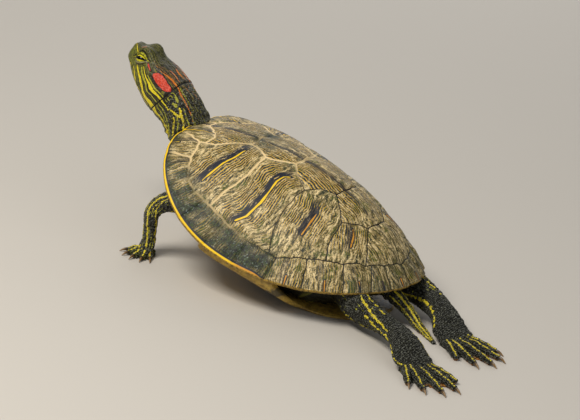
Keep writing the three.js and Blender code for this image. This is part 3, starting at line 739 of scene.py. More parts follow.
# %% Head, neck, limbs and tail
SNOUT = np.array([0, -156.2, 122.8])
HEAD_LENGTH = 50.5
HEAD_TURN = turned("Z", -2) @ turned("X", -30)
# How far back from the snout, then the top, the underside and the half width there.
HEAD_STATIONS = [
    (0, 7.8, 0, 2.6), (0.6, 9.4, -1.6, 4.3), (2, 10.6, -3.4, 6), (6, 13, -6.4, 8), (11, 16.4, -9.4, 9.7),
    (15, 17.8, -11.2, 11.1), (22, 17.2, -13.4, 13.4), (32, 16.8, -15.4, 15.9), (42, 16.6, -16.4, 16.6),
    (HEAD_LENGTH, 16, -17, 15.8),
]
CROWN_SQUARENESS, CHIN_SQUARENESS = 3.0, 2.15


def from_head(points):
    """From the head's own frame, whose origin is the snout and whose back is +Y."""
    return points @ HEAD_TURN.T + SNOUT


def into_head(points):
    """The reverse of from_head."""
    return (points - SNOUT) @ HEAD_TURN


def head_point(back, angle):
    """A point of the smooth head, in its own frame, from the distance back and the angle round it: 0 is the
    left side, 90 the crown."""
    top, under, half = (profile(HEAD_STATIONS, back, k) for k in (1, 2, 3))
    middle = lerp(top, under, 0.52)
    c, s = np.cos(angle), np.sin(angle)
    square = np.where(s > 0, CROWN_SQUARENESS, CHIN_SQUARENESS)
    reach = (np.abs(c) ** square + np.abs(s) ** square) ** (-1 / square)
    height = np.where(s > 0, top - middle, middle - under)
    return np.stack([half * c * reach, back + 0 * c, middle + height * s * reach], -1)


def table(*rows):
    """A function of the share along, from rows of share and value."""
    return lambda t: profile(rows, t)


NECK_START = 47.5
neck_path = [*from_head(np.array([[0, NECK_START, -0.5], [0, 55.5, -0.4]])),
             (-1, -100.5, 83.5), (-1, -92, 70), (0, -78, 59), (0, -62, 52)]
neck_plan = tube_plan(neck_path, lambda t: np.array([1.0, 0, 0]),
                      table((0, 15.2), (0.25, 15.4), (0.5, 14.8), (1, 15.5)),
                      table((0, 15.8), (0.25, 16), (0.5, 14.8), (1, 13)))
ARM_PATH = [(26, -56, 45), (38, -69, 45), (48, -82, 41), (51, -87.5, 33), (50.5, -87.5, 20), (50, -87.5, 9),
            (52, -88.5, 3.4)]
LEG_PATHS = {
    "left": [(20, 46, 30), (31, 66, 23), (39, 86, 16.5), (46, 108, 15), (58, 134, 13), (69, 150, 6.5),
             (73, 157, 4.4)],
    "right": [(20, 46, 30), (28, 66, 23), (30, 87, 17), (24, 106, 14), (12, 126, 11), (2, 139, 6),
              (-3, 147, 4.4)],
}
# Each hand or foot fans out from its palm: where it points, its spread, how far each digit's claw begins.
HANDS = {"heading": (0.98, -0.05, 0), "spread": -60, "reaches": (10, 11.2, 11.6, 11.4, 11), "thick": 2.3,
         "root_back": 2, "root_spread": 0.3, "claws": 5, "claw": 6.5, "web": 0.62, "palm_half": 7}
FEET = {"spread": 42, "reaches": (27, 33, 36, 35, 29), "thick": 2.5, "root_back": 4, "root_spread": 0.5,
        "claws": 4, "claw": 7.5, "web": 0.8, "palm_half": 17}
FOOT_HEADINGS = {"left": (0.5, 0.866, 0), "right": (-0.3, 0.95, 0)}
limbs = {}
for side_name, side in (("left", 1), ("right", -1)):
    mirror = np.array([side, 1, 1])
    arm_across = lambda t: unit(np.column_stack([lerp(0.35, 0.62, t), lerp(0.1, 0.78, t),
                                                 lerp(0.9, 0.1, ease(t, 0.1, 0.5))])) * mirror
    limbs["arm_" + side_name] = dict(HANDS, side=side, kind="front", plan=tube_plan(
        np.array(ARM_PATH) * mirror, arm_across,
        table((0, 13), (0.3, 11.5), (0.5, 9), (0.7, 7.6), (0.85, 7), (0.93, 8), (1, 9.4)),
        table((0, 12), (0.3, 9), (0.5, 5.6), (0.7, 4.4), (0.85, 4), (0.93, 4), (1, 3.2))),
        palm=np.array(ARM_PATH[-1]) * mirror, heading=unit(np.array(HANDS["heading"])) * mirror)
    heading = unit(np.array(FOOT_HEADINGS[side_name]))
    outward = np.array([heading[1], -heading[0], -1])
    leg_across = lambda t: unit(np.array([0.3, 0.1, 1]) + outward * ease(t, 0.3, 0.8)[:, None]) * mirror
    path = np.array(LEG_PATHS[side_name]) * mirror
    limbs["leg_" + side_name] = dict(FEET, side=side, kind="hind", plan=tube_plan(
        path, leg_across,
        table((0, 15), (0.3, 12), (0.5, 9.4), (0.68, 9.4), (0.85, 13), (0.94, 15), (1, 12)),
        table((0, 13), (0.3, 10), (0.5, 8), (0.68, 6.4), (0.85, 4.6), (0.94, 3.6), (1, 2))),
        palm=path[-1], heading=heading * mirror)
tail_path = [(0, 66, 26), (0, 84, 20), (0, 100, 12), (3, 114, 4.2), (9, 126, 1.9), (15, 135, 1)]
tail_plan = tube_plan(tail_path, lambda t: np.array([1.0, 0, 0]),
                      lambda t: lerp(10, 1.2, t**0.7), lambda t: lerp(9, 1.1, t**0.7), 2.0)
print("neck, mm:", round(neck_plan["length"], 1),
      {k: round(v["plan"]["length"], 1) for k, v in limbs.items()})

# %% [markdown]
# ## The head
# The face is what people look at first. It starts as the smooth head and is carved: lids wrap the
# eyeball and stop at an opening, the brows bulge, the beak's edge overhangs the mouth line, and the
# nostrils are pits near the tip of the snout.

# %% Head and neck as one tube
EYE_RADIUS, LID_RADIUS, EYE_FLOOR = 4.8, 5.35, 3.6
EYE_AT = np.array([7.9, 13.6, 7.2])
EYE_LOOK = unit(np.array([0.83, -0.34, 0.36]))
EYE_LEVEL = unit(np.cross(np.cross(EYE_LOOK, turned("X", 30) @ np.array([0, 1, 0])), EYE_LOOK))
EYE_UP = np.cross(EYE_LEVEL, EYE_LOOK) * np.sign(np.cross(EYE_LEVEL, EYE_LOOK)[2])
OPENING_HALF, OPENING_UP, OPENING_DOWN = 4.8, 2.7, 2.5
MOUTH = np.array([(-6, -2.2), (9, -3.6), (16.5, -5.6), (22.5, -8), (24.5, -9.6)])
EAR_AT, EAR_RADIUS = (42.5, 3.5), 5.4
# The crease at the nape: angles round the head, and how far back it runs there.
NAPE = [(-30, 44.4), (10, 46.1), (35, 47.6), (56, 46.9), (80, 46.1), (103, 45.5)]
# Bells raised from the face or sunk into it: how far, the middle and width across, the middle back with the
# widths before and behind it, and the heights over the head's middle between which it fades in.
FACE = {
    "brows": (2.5, 6.2, 3.4, 9.6, 3.6, 6.5, 4, 9),
    "between the brows": (-1.2, 0, 3.2, 13, 6, 6, 4, 9),
    "snout's saddle": (-0.9, 0, np.inf, 5.2, 2.3, 2.3, 3, 8),
    "behind the brows": (-1.2, 0, np.inf, 20.5, 6, 6, 6, 11),
    "furrow of the crown": (-0.7, 0, 5, 30, 12, 12, 4, 9),
}


def eye_places(points):
    """Each point from the nearer eye's middle: towards the back corner, up, and out, in millimetres."""
    gap = points * np.column_stack([np.sign(points[:, 0]) + (points[:, 0] == 0),
                                    *np.ones((2, len(points)))]) - EYE_AT
    return gap @ EYE_LEVEL, gap @ EYE_UP, gap @ EYE_LOOK, np.linalg.norm(gap, axis=1)


def opening(u, v):
    """Under 1 inside the almond between the lids: (across/half)^1.7 + (up/half height)^2."""
    half = np.where(v > 0, OPENING_UP, OPENING_DOWN)
    return (np.abs(u) / OPENING_HALF) ** 1.7 + (v / half) ** 2


def carve_head(points):
    """Moves points of the smooth head, in its own frame, to the carved one."""
    x, y, z = points.T
    mid = np.column_stack([0 * x, y + 4 * ease(-y, -6, 0),
                           lerp(profile(HEAD_STATIONS, y, 1), profile(HEAD_STATIONS, y, 2), 0.52)])
    out = unit(points - mid)
    up = z - mid[:, 2]
    move = 0 * y
    for by, across, width, back, before, behind, low, high in FACE.values():
        bell = by * bump(np.abs(x), across, width) * bump(y, back, np.where(y < back, before, behind))
        move += bell * ease(up, low, high)
    # the nostrils' rims, then their pits
    move += 0.8 * bump(np.abs(x), 2.2, 1.5) * bump(z, 8, 1.7) * (1 - ease(y, 1.5, 3.5))
    move -= 1.5 * bump(np.abs(x), 1.8, 0.62) * bump(z, 7.7, 0.6) * (1 - ease(y, 2, 3))
    # the beak's edge overhangs the line of the mouth
    flat = np.column_stack([y, z])
    lip = from_segments(flat, MOUTH[:-1], MOUTH[1:]) * np.sign(z - np.interp(y, *MOUTH.T))
    here = 1 - ease(y, 23, 25.5)
    move += here * (0.45 * bump(lip, 1.1, 1.0) - 0.65 * np.exp(-((lip / 0.42) ** 2)) - 0.3
                    * bump(lip, -1.6, 1.3))
    # the eardrum is a shallow dish with a low edge
    ear = np.hypot(y - EAR_AT[0], (z - EAR_AT[1]) * 1.1)
    side_on = ease(np.abs(x), 9, 12)
    move += side_on * (0.3 * bump(ear, EAR_RADIUS, 1.1) - 0.45 * (1 - ease(ear, 1.5, 4.6)))
    nape = (y - np.interp(np.degrees(np.arctan2(up, np.abs(x))), *np.array(NAPE).T)) / 0.8
    move += 0.3 * bump(nape, -1.6, 2) - 0.55 * np.exp(-(nape**2))
    swells = 0.35 * ripple(points, 15, 11) * ease(y, 18, 30)
    move += swells + 0.12 * ripple(points, 4.5, 12) * ease(y, 5, 20)
    made = points + out * move[:, None]
    # the lids wrap the eyeball: near it, points move to the lid's radius, and inside the opening under the
    # ball
    u, v, w, away = eye_places(made)
    sign = np.column_stack([np.where(made[:, 0] < 0, -1, 1), np.ones(len(made)), np.ones(len(made))])
    gap = made * sign - EYE_AT
    ray = unit(gap)
    open_at = opening(u * LID_RADIUS / away, v * LID_RADIUS / away)
    front = ease(w / away, 0.1, 0.4)
    crease = bump(np.sqrt(np.maximum(open_at, 0)), 1.75, 0.16)
    thick = 0.45 * ease(v, 0.5, 2.6) * (1 - ease(v, 4, 6.4)) + 0.12
    lid = LID_RADIUS + thick * ease(open_at, 1.0, 1.5) - 0.45 * crease
    near = front * (1 - ease(away, LID_RADIUS + 0.9, LID_RADIUS + 3.2))
    wrapped = lerp(away, np.maximum(lid, lerp(lid, away, ease(open_at, 2.5, 6))), near)
    wrapped = np.where(front > 0,
                       lerp(wrapped, EYE_FLOOR, (1 - ease(open_at, 0.8, 1.06)) * ease(front, 0.3, 0.8)),
                       wrapped)
    return (EYE_AT + ray * wrapped[:, None]) * sign


def head_and_neck(sides=208):
    """Rings from the snout to inside the shell: the head's own up to where the neck begins, then the
    neck's, with a smooth change between."""
    angle = 2 * np.pi * (np.arange(sides) + 0.5) / sides
    backs = np.concatenate([[0, 0.25, 0.6, 1, 1.4], np.arange(1.9, NECK_START, 0.44)])
    skull = head_point(backs[:, None], angle[None])
    carved = carve_head(skull.reshape(-1, 3)).reshape(skull.shape)
    head_rings = from_head(carved)
    neck_rings = rings_along(neck_plan, sides, 0.75)
    run = np.linspace(0, neck_plan["length"], len(neck_rings))
    shape = from_head(head_point(np.minimum(NECK_START + run, 58)[:, None], angle[None]))
    blend = ease(run, 0, 9)[:, None, None]
    blended = lerp(shape, neck_rings, np.where(run[:, None, None] < 9, blend, 1))
    rings = np.concatenate([head_rings, blended])
    flat = rings.reshape(-1, 3)
    past = np.repeat(np.concatenate([np.zeros(len(backs)), run]), sides)
    out = unit(flat - np.repeat(rings.mean(1), sides, axis=0))
    folds = 0.5 * ripple(flat * [0.4, 0.4, 1.6], 7, 21) + 0.35 * ripple(flat * [0.5, 0.5, 1.5], 3.6, 22)
    wave = np.sin(past * 2 * np.pi / 8.5 + 1.6 * ripple(flat, 22, 23)) * 0.45 * ease(past, 10, 26)
    flat = flat + out * ((folds * ease(past, 2, 20) + wave)[:, None])
    return flat.reshape(rings.shape)


# %% [markdown]
# ## Digits, webs and the body between
# Five short digits fan out from each palm, with a web between them that lies on the ground. They could
# be drawn out of the limb's own end, but it is simpler to make each a tube with its own rectangle of
# the bake map, and to unite them afterwards.

# %% Skin pieces
def tube_mesh(name, rings, chart):
    """A closed tube with its own rectangle of the bake map: round the tube runs across, and along it runs
    up."""
    count, sides = rings.shape[:2]
    points, (quads, caps) = closed_tube(rings)
    turned_over = (quads[0] != ring_faces(count, sides)[0]).any()
    r, i = np.divmod(np.arange((count - 1) * sides), sides)
    side = np.arange(sides)
    around = [np.stack([i, i + 1, i + 1, i], -1), np.stack([side + 0.5, side + 1, side][::-1], -1),
              np.stack([side, side + 1, side + 0.5], -1)]
    along = [np.stack([r, r, r + 1, r + 1], -1), np.tile([0, 0, 0.5], (sides, 1))[:, ::-1],
             np.tile([1, 1, 0.5], (sides, 1)) * (count - 1)]
    step = -1 if turned_over else 1
    across = np.concatenate([a[:, ::step].ravel() for a in around]) / sides
    up = np.concatenate([a[:, ::step].ravel() for a in along]) / (count - 1)
    low, high = np.array(chart[:2]), np.array(chart[2:])
    made = new_mesh(name, points, [quads, caps])
    map_on(made, "OFBake", low + (high - low) * np.column_stack([across, up]))
    return made


def digits_of(limb):
    """For each digit of a hand or foot: where it starts, where its claw begins, and the way it points."""
    turns = np.linspace(-limb["spread"], limb["spread"], 5) * (1 if limb["side"] > 0 else -1)
    found = []
    for turn, reach in zip(turns, limb["reaches"]):
        aim = turned("Z", turn) @ limb["heading"]
        aside = aim - limb["heading"] * (aim @ limb["heading"])
        tip = limb["palm"] + aim * reach
        root = limb["palm"] + aside * reach * limb["root_spread"] - limb["heading"] * limb["root_back"]
        tip[2], root[2] = limb["thick"] * 0.78, limb["palm"][2]
        found.append((root, tip, unit((tip - root) * [1, 1, 0])))
    return found


def digit_plan(limb, root, tip, aim):
    """A digit, thicker at its knuckles and a little arched."""
    thick = limb["thick"]
    middle = lerp(root, tip, 0.55) + [0, 0, thick * 0.35]
    across = np.array([-aim[1], aim[0], 0])
    knuckles = lambda t: 1 + 0.1 * np.cos((t - 0.08) * 2 * np.pi * (3 if limb["kind"] == "hind" else 2))
    return tube_plan([root, middle, tip], lambda t: across,
                     lambda t: lerp(thick * 1.1, thick * 0.8, t) * knuckles(t),
                     lambda t: lerp(thick, thick * 0.8, t) * knuckles(t), 2.0, 60)


def web_rings(limb):
    """The web as a flat closed tube of fans: its edge is scalloped between the toes and a little ragged."""
    fan_turns = np.linspace(-1.08, 1.08, 97)
    turns = np.radians(fan_turns * limb["spread"] * (1 if limb["side"] > 0 else -1))
    toes = (fan_turns + 1) * 2
    reach = np.interp(fan_turns, np.linspace(-1, 1, 5), limb["reaches"]) * limb["web"]
    hollow = np.abs(np.sin(np.pi * np.clip(toes, 0, 4)))
    ragged = 0.03 * np.sin(toes * 23) * hollow + 0.02 * np.sin(toes * 41 + 1) * hollow
    reach = reach * (1 - 0.16 * hollow + ragged) * (1 - 0.5 * ease(np.abs(fan_turns), 1.0, 1.08))
    heading = np.arctan2(limb["heading"][1], limb["heading"][0])
    ways = np.column_stack([np.cos(heading + turns), np.sin(heading + turns), 0 * turns])
    shares = np.linspace(0.02, 1, 26)
    ring = np.concatenate([shares, shares[::-1]])
    flat_palm = limb["palm"] * [1, 1, 0]
    aside = ways - limb["heading"] * (ways @ limb["heading"])[:, None]
    base = flat_palm - limb["heading"] * 6 + aside * limb["palm_half"]
    edge = flat_palm + ways * reach[:, None]
    flat = lerp(base[:, None], edge[:, None], ring[None, :, None])
    round_off = (1 - 0.4 * fan_turns**2) * (1 - ease(np.abs(fan_turns), 0.9, 1.08))
    top_height = lerp(limb["palm"][2] * 1.55, 0.9, shares**0.8) * round_off[:, None] + 0.25
    flat[:, :26, 2] = top_height
    flat[:, 26:, 2] = 0.02
    return flat


def in_shell_rings():
    """The body inside the shell, from the top under the carapace to the floor of the plastron. Its side
    walls show between the limbs."""
    sides, clear, wall_share = 96, 1.6, 0.8
    bearings = 2 * np.pi * (np.arange(sides) + 0.5) / sides
    rings = []
    inside = WALL_INSET + 0.008 * clear
    for share in (0.35, 0.5, 0.6, 0.7, wall_share):
        ring = on_rim(bearings, share, THICKNESS + clear)
        rings.append(ring * [1 - inside * share, 1 - inside * share, 1])
    places = -on_rim(bearings, wall_share)[:, 1] / PLASTRON_LENGTH
    wall = on_rim(bearings, wall_share + 0.11 * at_bridge(places, 0.02))
    low = plastron_under(wall[:, 0], wall[:, 1])
    for height in (0.75, 0.6, 0.45, 0.33):
        rings.append(np.column_stack([wall[:, :2] * (1 - 0.02 * (0.75 - height)),
                                      lerp(low, wall[:, 2], height)]))
    for share in (0.74, 0.66, 0.5, 0.25):
        ring = on_rim(bearings, share)
        ring[:, 2] = plastron_under(ring[:, 0], ring[:, 1]) + PLASTRON_THICKNESS + clear
        rings.append(ring)
    return from_shell(np.array(rings))


# %% [markdown]
# ## The plastron
# The lower shell is flatter, its lobes curve up towards the neck and the tail, and its bridges rise to
# the carapace. It carries the animal's weight, so its lowest part is a small flat on the floor. It could
# be cut from a plane, but cross sections from tail to neck give it thickness, a rounded edge and the
# grooves between its plates in one go. What would pass into the carapace is then cut away.

# %% The plastron
PLASTRON_LENGTH, PLASTRON_DEPTH, PLASTRON_THICKNESS = 176.0, 22.6, 3.6
PLATE_SEAMS = (-0.33, -0.19, 0.0, 0.2, 0.36)  # shares along, from the middle


def at_bridge(place, inset=0.0):
    """1 beside the bridges and 0 before and behind them, with a smooth change at each end."""
    return ease(place, -0.27 + inset, -0.16 + inset) * (1 - ease(place, 0.17 - inset, 0.27 - inset))


def plastron_half(place):
    """Half width at a place along, from -0.5 at the tail to 0.5 at the neck: two rounded lobes and the
    bridges between."""
    fore = 0.235 * np.sqrt(np.maximum(0, 1 - np.abs((place - 0.06) / 0.445) ** 2.6))
    hind = 0.225 * np.sqrt(np.maximum(0, 1 - np.abs((place + 0.06) / 0.445) ** 3))
    return LENGTH * (np.where(place > 0, fore, hind) + 0.15 * at_bridge(place))


def plastron_under(x, y):
    """Height of the underside: level, curving up to the neck, the tail and the bridges."""
    place = -y / PLASTRON_LENGTH
    neck = 67.6 * np.maximum(0, place - 0.08) ** 1.7
    tail = 9 * (np.maximum(0, -place - 0.2) / 0.3) ** 2
    flank = 16.5 * np.clip((np.abs(x) - 36) / 38, 0, 1) ** 1.7
    return -PLASTRON_DEPTH + neck + tail + flank


def make_plastron():
    """A closed tube of cross sections from tail to neck, pressed level where it would pass below the
    floor."""
    places = -0.499 * np.cos(np.pi * np.linspace(0, 1, 130))
    half = np.maximum(2, plastron_half(places))[:, None]
    y = -places[:, None] * PLASTRON_LENGTH
    u = np.sin(np.linspace(-1, 1, 61) * np.pi / 2)
    x = half * u
    groove = 0.5 * np.exp(-((x / 0.7) ** 2))
    for at in PLATE_SEAMS:
        bow = at + 0.035 * (np.abs(x) / half)
        groove = groove + 0.5 * np.exp(-(((places[:, None] - bow) * PLASTRON_LENGTH / 0.8) ** 2))
    under = np.stack([x, y + 0 * x, plastron_under(x, y) + groove], -1)
    bridge = at_bridge(places)[:, None]
    edge = PLASTRON_THICKNESS * (1 - 0.6 * np.abs(u) ** 8 + 1.9 * bridge * np.abs(u) ** 5)
    over = np.stack([x * (1 - 0.008 * np.abs(u)), y + 0 * x, plastron_under(x, y) + edge], -1)[:, ::-1]
    rings = from_shell(np.concatenate([under, over], 1))
    rings[..., 2] = np.maximum(rings[..., 2], 0)
    return tube_mesh("plastron_horn", rings, (0.01, 0.01, 0.99, 0.99))


def applied(piece, **cutters):
    """The piece as a plain mesh after Boolean modifiers with the given operations and objects, which are
    then removed."""
    for operation, others in cutters.items():
        for other in others:
            cut = piece.modifiers.new(operation, "BOOLEAN")
            cut.operation, cut.solver, cut.object = operation, "MANIFOLD", other
    shape = bpy.data.meshes.new_from_object(piece.evaluated_get(bpy.context.evaluated_depsgraph_get()))
    piece.modifiers.clear()
    piece.data = shape
    return piece


plastron = applied(make_plastron(), DIFFERENCE=[carapace])
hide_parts("plastron")
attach(plastron, "root")
print("plastron:", len(plastron.data.polygons), "faces")

# %% [markdown]
# ## One skin
# Living skin has no joints at the wrist or the jaw. The tubes could be remeshed together, but that would
# lose their bake maps. A Boolean union keeps them, and the corners where tubes meet are then relaxed
# until they flow.

# %% The union
def merged(name, pieces):
    """Several pieces that do not touch, as one object with their bake maps."""
    points, faces, corners, start = [], [], [], 0
    for piece in pieces:
        mesh = piece.data
        co = np.empty(len(mesh.vertices) * 3, np.float32)
        mesh.vertices.foreach_get("co", co)
        index = np.empty(len(mesh.loops), np.int32)
        mesh.loops.foreach_get("vertex_index", index)
        uv = np.empty(len(index) * 2, np.float32)
        mesh.uv_layers["OFBake"].uv.foreach_get("vector", uv)
        totals = np.empty(len(mesh.polygons), np.int32)
        mesh.polygons.foreach_get("loop_total", totals)
        points.append(co.reshape(-1, 3).astype(float) / MM - SHIFT)
        faces.append((index + start, totals))
        corners.append(uv.reshape(-1, 2))
        start += len(mesh.vertices)
        bpy.data.objects.remove(piece)
    sized, maps = [], []
    for (index, totals), uv in zip(faces, corners):
        offsets = np.cumsum(totals) - totals
        for size in np.unique(totals):
            pick = offsets[totals == size][:, None] + np.arange(size)
            sized.append(index[pick])
            maps.append(uv[pick].reshape(-1, 2))
    made = new_mesh(name, np.concatenate(points), sized)
    map_on(made, "OFBake", np.concatenate(maps))
    return made


def make_skin():
    """The union of all the tubes."""
    body = tube_mesh("skin", in_shell_rings(), (0.71, 0.01, 0.99, 0.2))
    head = tube_mesh("head_part", head_and_neck(), (0.01, 0.01, 0.34, 0.99))
    tubes = [tube_mesh("tail_part", rings_along(tail_plan, 40, 1.1), (0.93, 0.22, 0.99, 0.6))]
    webs, toes = [], [[], [], [], [], []]
    for k, (name, limb) in enumerate(limbs.items()):
        left = 0.36 + 0.14 * k
        rings = rings_along(limb["plan"], 56, 0.95)
        tubes.append(tube_mesh(name, rings, (left, 0.22, left + 0.13, 0.99)))
        webs.append(tube_mesh("web_" + name, web_rings(limb), (left, 0.01, left + 0.08, 0.11)))
        for j, (root, tip, aim) in enumerate(digits_of(limb)):
            rings = rings_along(digit_plan(limb, root, tip, aim), 18, 0.8)
            low = left + 0.027 * j
            toes[j].append(tube_mesh("toe", rings, (low, 0.12, low + 0.024, 0.21)))
    parts = [head, merged("tubes", tubes), merged("webs", webs)] + [merged("toes", own) for own in toes]
    made = applied(body, UNION=parts)
    for part in parts:
        bpy.data.objects.remove(part)
    return made


skin = make_skin()
print("skin:", len(skin.data.vertices), "vertices", len(skin.data.polygons), "faces")


# %% Relaxing the joins
def vertices_of(piece):
    """The piece's vertices, in millimetres."""
    co = np.empty(len(piece.data.vertices) * 3, np.float32)
    piece.data.vertices.foreach_get("co", co)
    return co.reshape(-1, 3).astype(float) / MM - SHIFT


def edges_of(piece):
    """The two vertices of each edge."""
    pairs = np.empty(len(piece.data.edges) * 2, np.int32)
    piece.data.edges.foreach_get("vertices", pairs)
    return pairs.reshape(-1, 2)


def normals_of(piece):
    """The piece's normals, one for each vertex."""
    found = np.empty(len(piece.data.vertices) * 3, np.float32)
    piece.data.vertices.foreach_get("normal", found)
    return found.reshape(-1, 3).astype(float)


def corners_of(piece):
    """The vertex at each corner of each face."""
    index = np.empty(len(piece.data.loops), np.int32)
    piece.data.loops.foreach_get("vertex_index", index)
    return index


def relax(points, pairs, weight, rounds):
    """Each round moves every point towards the mean of its neighbours by its weight."""
    count = np.bincount(pairs.ravel(), minlength=len(points))
    for _ in range(rounds):
        total = np.stack([np.bincount(pairs[:, 0], points[pairs[:, 1], k], len(points))
                          + np.bincount(pairs[:, 1], points[pairs[:, 0], k], len(points)) for k in range(3)],
                          -1)
        points = points + weight[:, None] * (total / np.maximum(count, 1)[:, None] - points)
    return points


skin_points = vertices_of(skin)
plans = {"neck": neck_plan, "tail": tail_plan, **{name: limb["plan"] for name, limb in limbs.items()}}
places = {name: place_on(plan, skin_points) for name, plan in plans.items()}
normals = normals_of(skin)
pairs = edges_of(skin)
span = np.linalg.norm(skin_points[pairs[:, 0]] - skin_points[pairs[:, 1]], axis=1).mean()
dent = ((relax(skin_points, pairs, np.ones(len(skin_points)), 1) - skin_points) * normals).sum(1) / span
soft = ease(dent, 0.05, 0.25)[:, None] * np.ones((1, 3))
soft = relax(soft, pairs, np.ones(len(soft)), 5)[:, 0]
in_head = 1 - ease(into_head(skin_points)[:, 1], 52, 60)
soft = np.clip(soft * 3, 0, 0.6) * (1 - in_head)
skin_points = relax(skin_points, pairs, soft, 14)


def limb_folds(points):
    """Creases across the limbs and tail, and the low swell of small scales, in millimetres."""
    move = np.zeros(len(points))
    for name, plan in plans.items():
        if name == "neck":
            continue
        t, _, out = places[name].T
        near_it = ease(out, 0, 0.6) * (1 - ease(out, 1.25, 1.6))
        on_it = near_it * ease(t, 0.15, 0.3) * (1 - 0.7 * ease(t, 0.85, 0.97))
        run = t * plan["length"]
        crease = np.sin(run * 2 * np.pi / 5.5 + 2.2 * ripple(points, 14, 31)) * ripple(points, 18, 32)
        move += on_it * (0.32 * crease + 0.22 * ripple(points, 3.4, 33)) * (1 - 0.5 * ease(t, 0.85, 1))
    return move


skin_points = skin_points + normals * limb_folds(skin_points)[:, None]
skin_points[:, 2] = np.maximum(skin_points[:, 2], 0.0)
skin.data.vertices.foreach_set("co", to_row(skin_points).astype(np.float32).ravel())
skin.data.update()
skin.data.shade_smooth()
flesh = ["trunk", "head", "lower_jaw", "neck", "tail"] + [
    f"{part}_{side}" for side in ("left", "right")
    for part in ("upper_arm", "forearm", "hand", "thigh", "shank", "foot")]
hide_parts(*flesh)
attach(skin, "root")
print("share of the skin relaxed:", round(float((soft > 0.1).mean()), 3))

# %% [markdown]
# ## Stripes
# A slider's skin carries fine yellow lines from its snout down its neck, a red patch behind each eye
# and bold lines down its limbs. Painted in place they would be long lists of points in space. They
# follow the body, so they are drawn in the distance along it and the angle round it, and every vertex
# stores how far it is from the nearest line's edge, in millimetres.

# %% Where the stripes run
# Each line: how far back from the snout, the angle up from the cheek's middle, and the half width.
YELLOW = [
    [(8, -26, 0.5), (14.8, -40, 0.7), (18.8, -46, 0.8), (26, -54, 0.7), (40, -56, 0.6), (70, -66, 0.6)],
    [(11.9, -18, 0.5), (16.5, -25, 0.6), (20.3, -30, 0.6), (24, -38, 0.5), (28.9, -39, 0.5),
     (33.5, -37, 0.4), (40, -38, 0.5)],
    [(13.6, 0, 0.5), (16, -4, 0.85), (18.4, -6, 1.0), (22.5, -8, 1.3), (25.8, -14, 1.35), (28.7, -17, 1.4),
     (30.9, -23, 1.5),
     (33.9, -25, 1.5), (36.5, -25, 1.5), (39.9, -22, 1.8), (43.7, -23, 2.1), (46.5, -26, 2.0),
     (50, -31, 1.1),
     (54.6, -34, 0.9), (59.9, -32, 1.1), (65.2, -36, 1.2), (76, -47, 1.0)],
    [(18.6, 19, 0.3), (23.3, 14, 0.45), (26.4, 12, 0.5), (31.1, 12, 0.9), (34.3, 9, 1.4), (38, 10, 0.9),
     (42, 12, 0.8),
     (46.1, 13, 0.7), (49, 11, 0.4), (54, 6, 0.4)],
    [(58, 8, 0.5), (62.6, -2, 0.7), (66.3, -11, 0.8), (72, -22, 0.8)],
    [(54.3, 10, 0.4), (56.5, 15, 0.8), (58, 20, 0.8), (59.6, 27, 0.5)],
    [(56.2, 33, 0.6), (58, 29, 0.9), (62.4, 27, 0.6), (66.1, 22, 0.8), (69, 19, 0.8), (76, 10, 0.7)],
    [(0.8, 55, 0.4), (4.4, 38, 0.5), (6.4, 32, 0.45), (8, 26, 0.3)],
]
FINE = [
    [(26, 20, 0.3), (32, 19, 0.55), (36.5, 18, 0.6), (40.5, 20, 0.5), (44.5, 22, 0.45), (47.5, 21, 0.35)],
    [(34.2, -6, 0.3), (38.2, -1, 0.4), (43, -1, 0.35), (46.1, 0, 0.3), (50.3, -3, 0.35), (55, -12, 0.4),
     (60, -18, 0.5), (70, -33, 0.5)],
    [(17.9, 11, 0.5), (21.7, 6, 0.8), (25, 4, 0.9), (29.6, 2, 0.8), (32, -4, 0.6), (35.3, -5, 0.3)],
    [(60.6, 54, 0.35), (64.3, 51, 0.4), (68.4, 50, 0.4), (74, 50, 0.3)],
    [(45, -8, 0.25), (50, -14, 0.35), (56, -22, 0.4), (64, -27, 0.4), (74, -40, 0.4)],
    [(56, 20, 0.3), (62, 12, 0.4), (68, 2, 0.4), (75, -8, 0.4)],
    [(50, 46, 0.3), (56, 42, 0.35), (62, 38, 0.35), (72, 34, 0.3)],
    [(49, 66, 0.25), (54, 62, 0.3), (60, 63, 0.25)],
]
ORANGE = [
    [(24, 50, 0.1), (31.8, 53, 0.2), (34.4, 57, 0.4), (37.3, 60, 0.7), (40.4, 62, 0.75), (44.7, 62, 0.7),
     (47.5, 62, 0.45), (50.5, 60, 0.35), (53.1, 55, 0.6), (57.6, 52, 0.35), (61, 53, 0.2)],
    [(33, 76, 0.2), (35, 79, 0.6), (37.6, 81, 0.65), (40, 80, 0.55), (44.5, 77, 0.2)],
    [(6.5, 52, 0.4), (8, 54, 0.6), (9.2, 56, 0.3)],
]
# Finer and browner.
RUST = [
    [(45, 76, 0.1), (49, 80, 0.3), (52, 84, 0.3), (56.2, 81, 0.3), (58.5, 66, 0.2)],
    [(21, 52, 0.1), (25.4, 57, 0.2), (30, 65, 0.2), (35.8, 71, 0.2), (42, 73, 0.2), (46, 77, 0.1)],
    [(22, 46, 0.15), (28.5, 57, 0.25), (32.9, 60, 0.25), (38.3, 66, 0.2), (44, 68, 0.2)],
    [(27, 45, 0.15), (32, 54, 0.15), (38, 55, 0.15), (46, 56, 0.2)],
    [(61, 53, 0.3), (68, 47, 0.3), (76, 42, 0.3)],
]
RED = [
    [(28.6, 34, 0.4), (29.4, 36, 1.6), (31, 38, 2.3), (34, 39, 2.9), (38, 39.5, 2.8), (41, 39, 2.4),
     (44, 40.5, 2.1),
     (45.6, 41.5, 1.5), (46.7, 42, 0.4)],
    [(19.4, 34, 0.3), (20.8, 33, 0.6), (23, 32, 0.5), (25, 31, 0.25)],
]
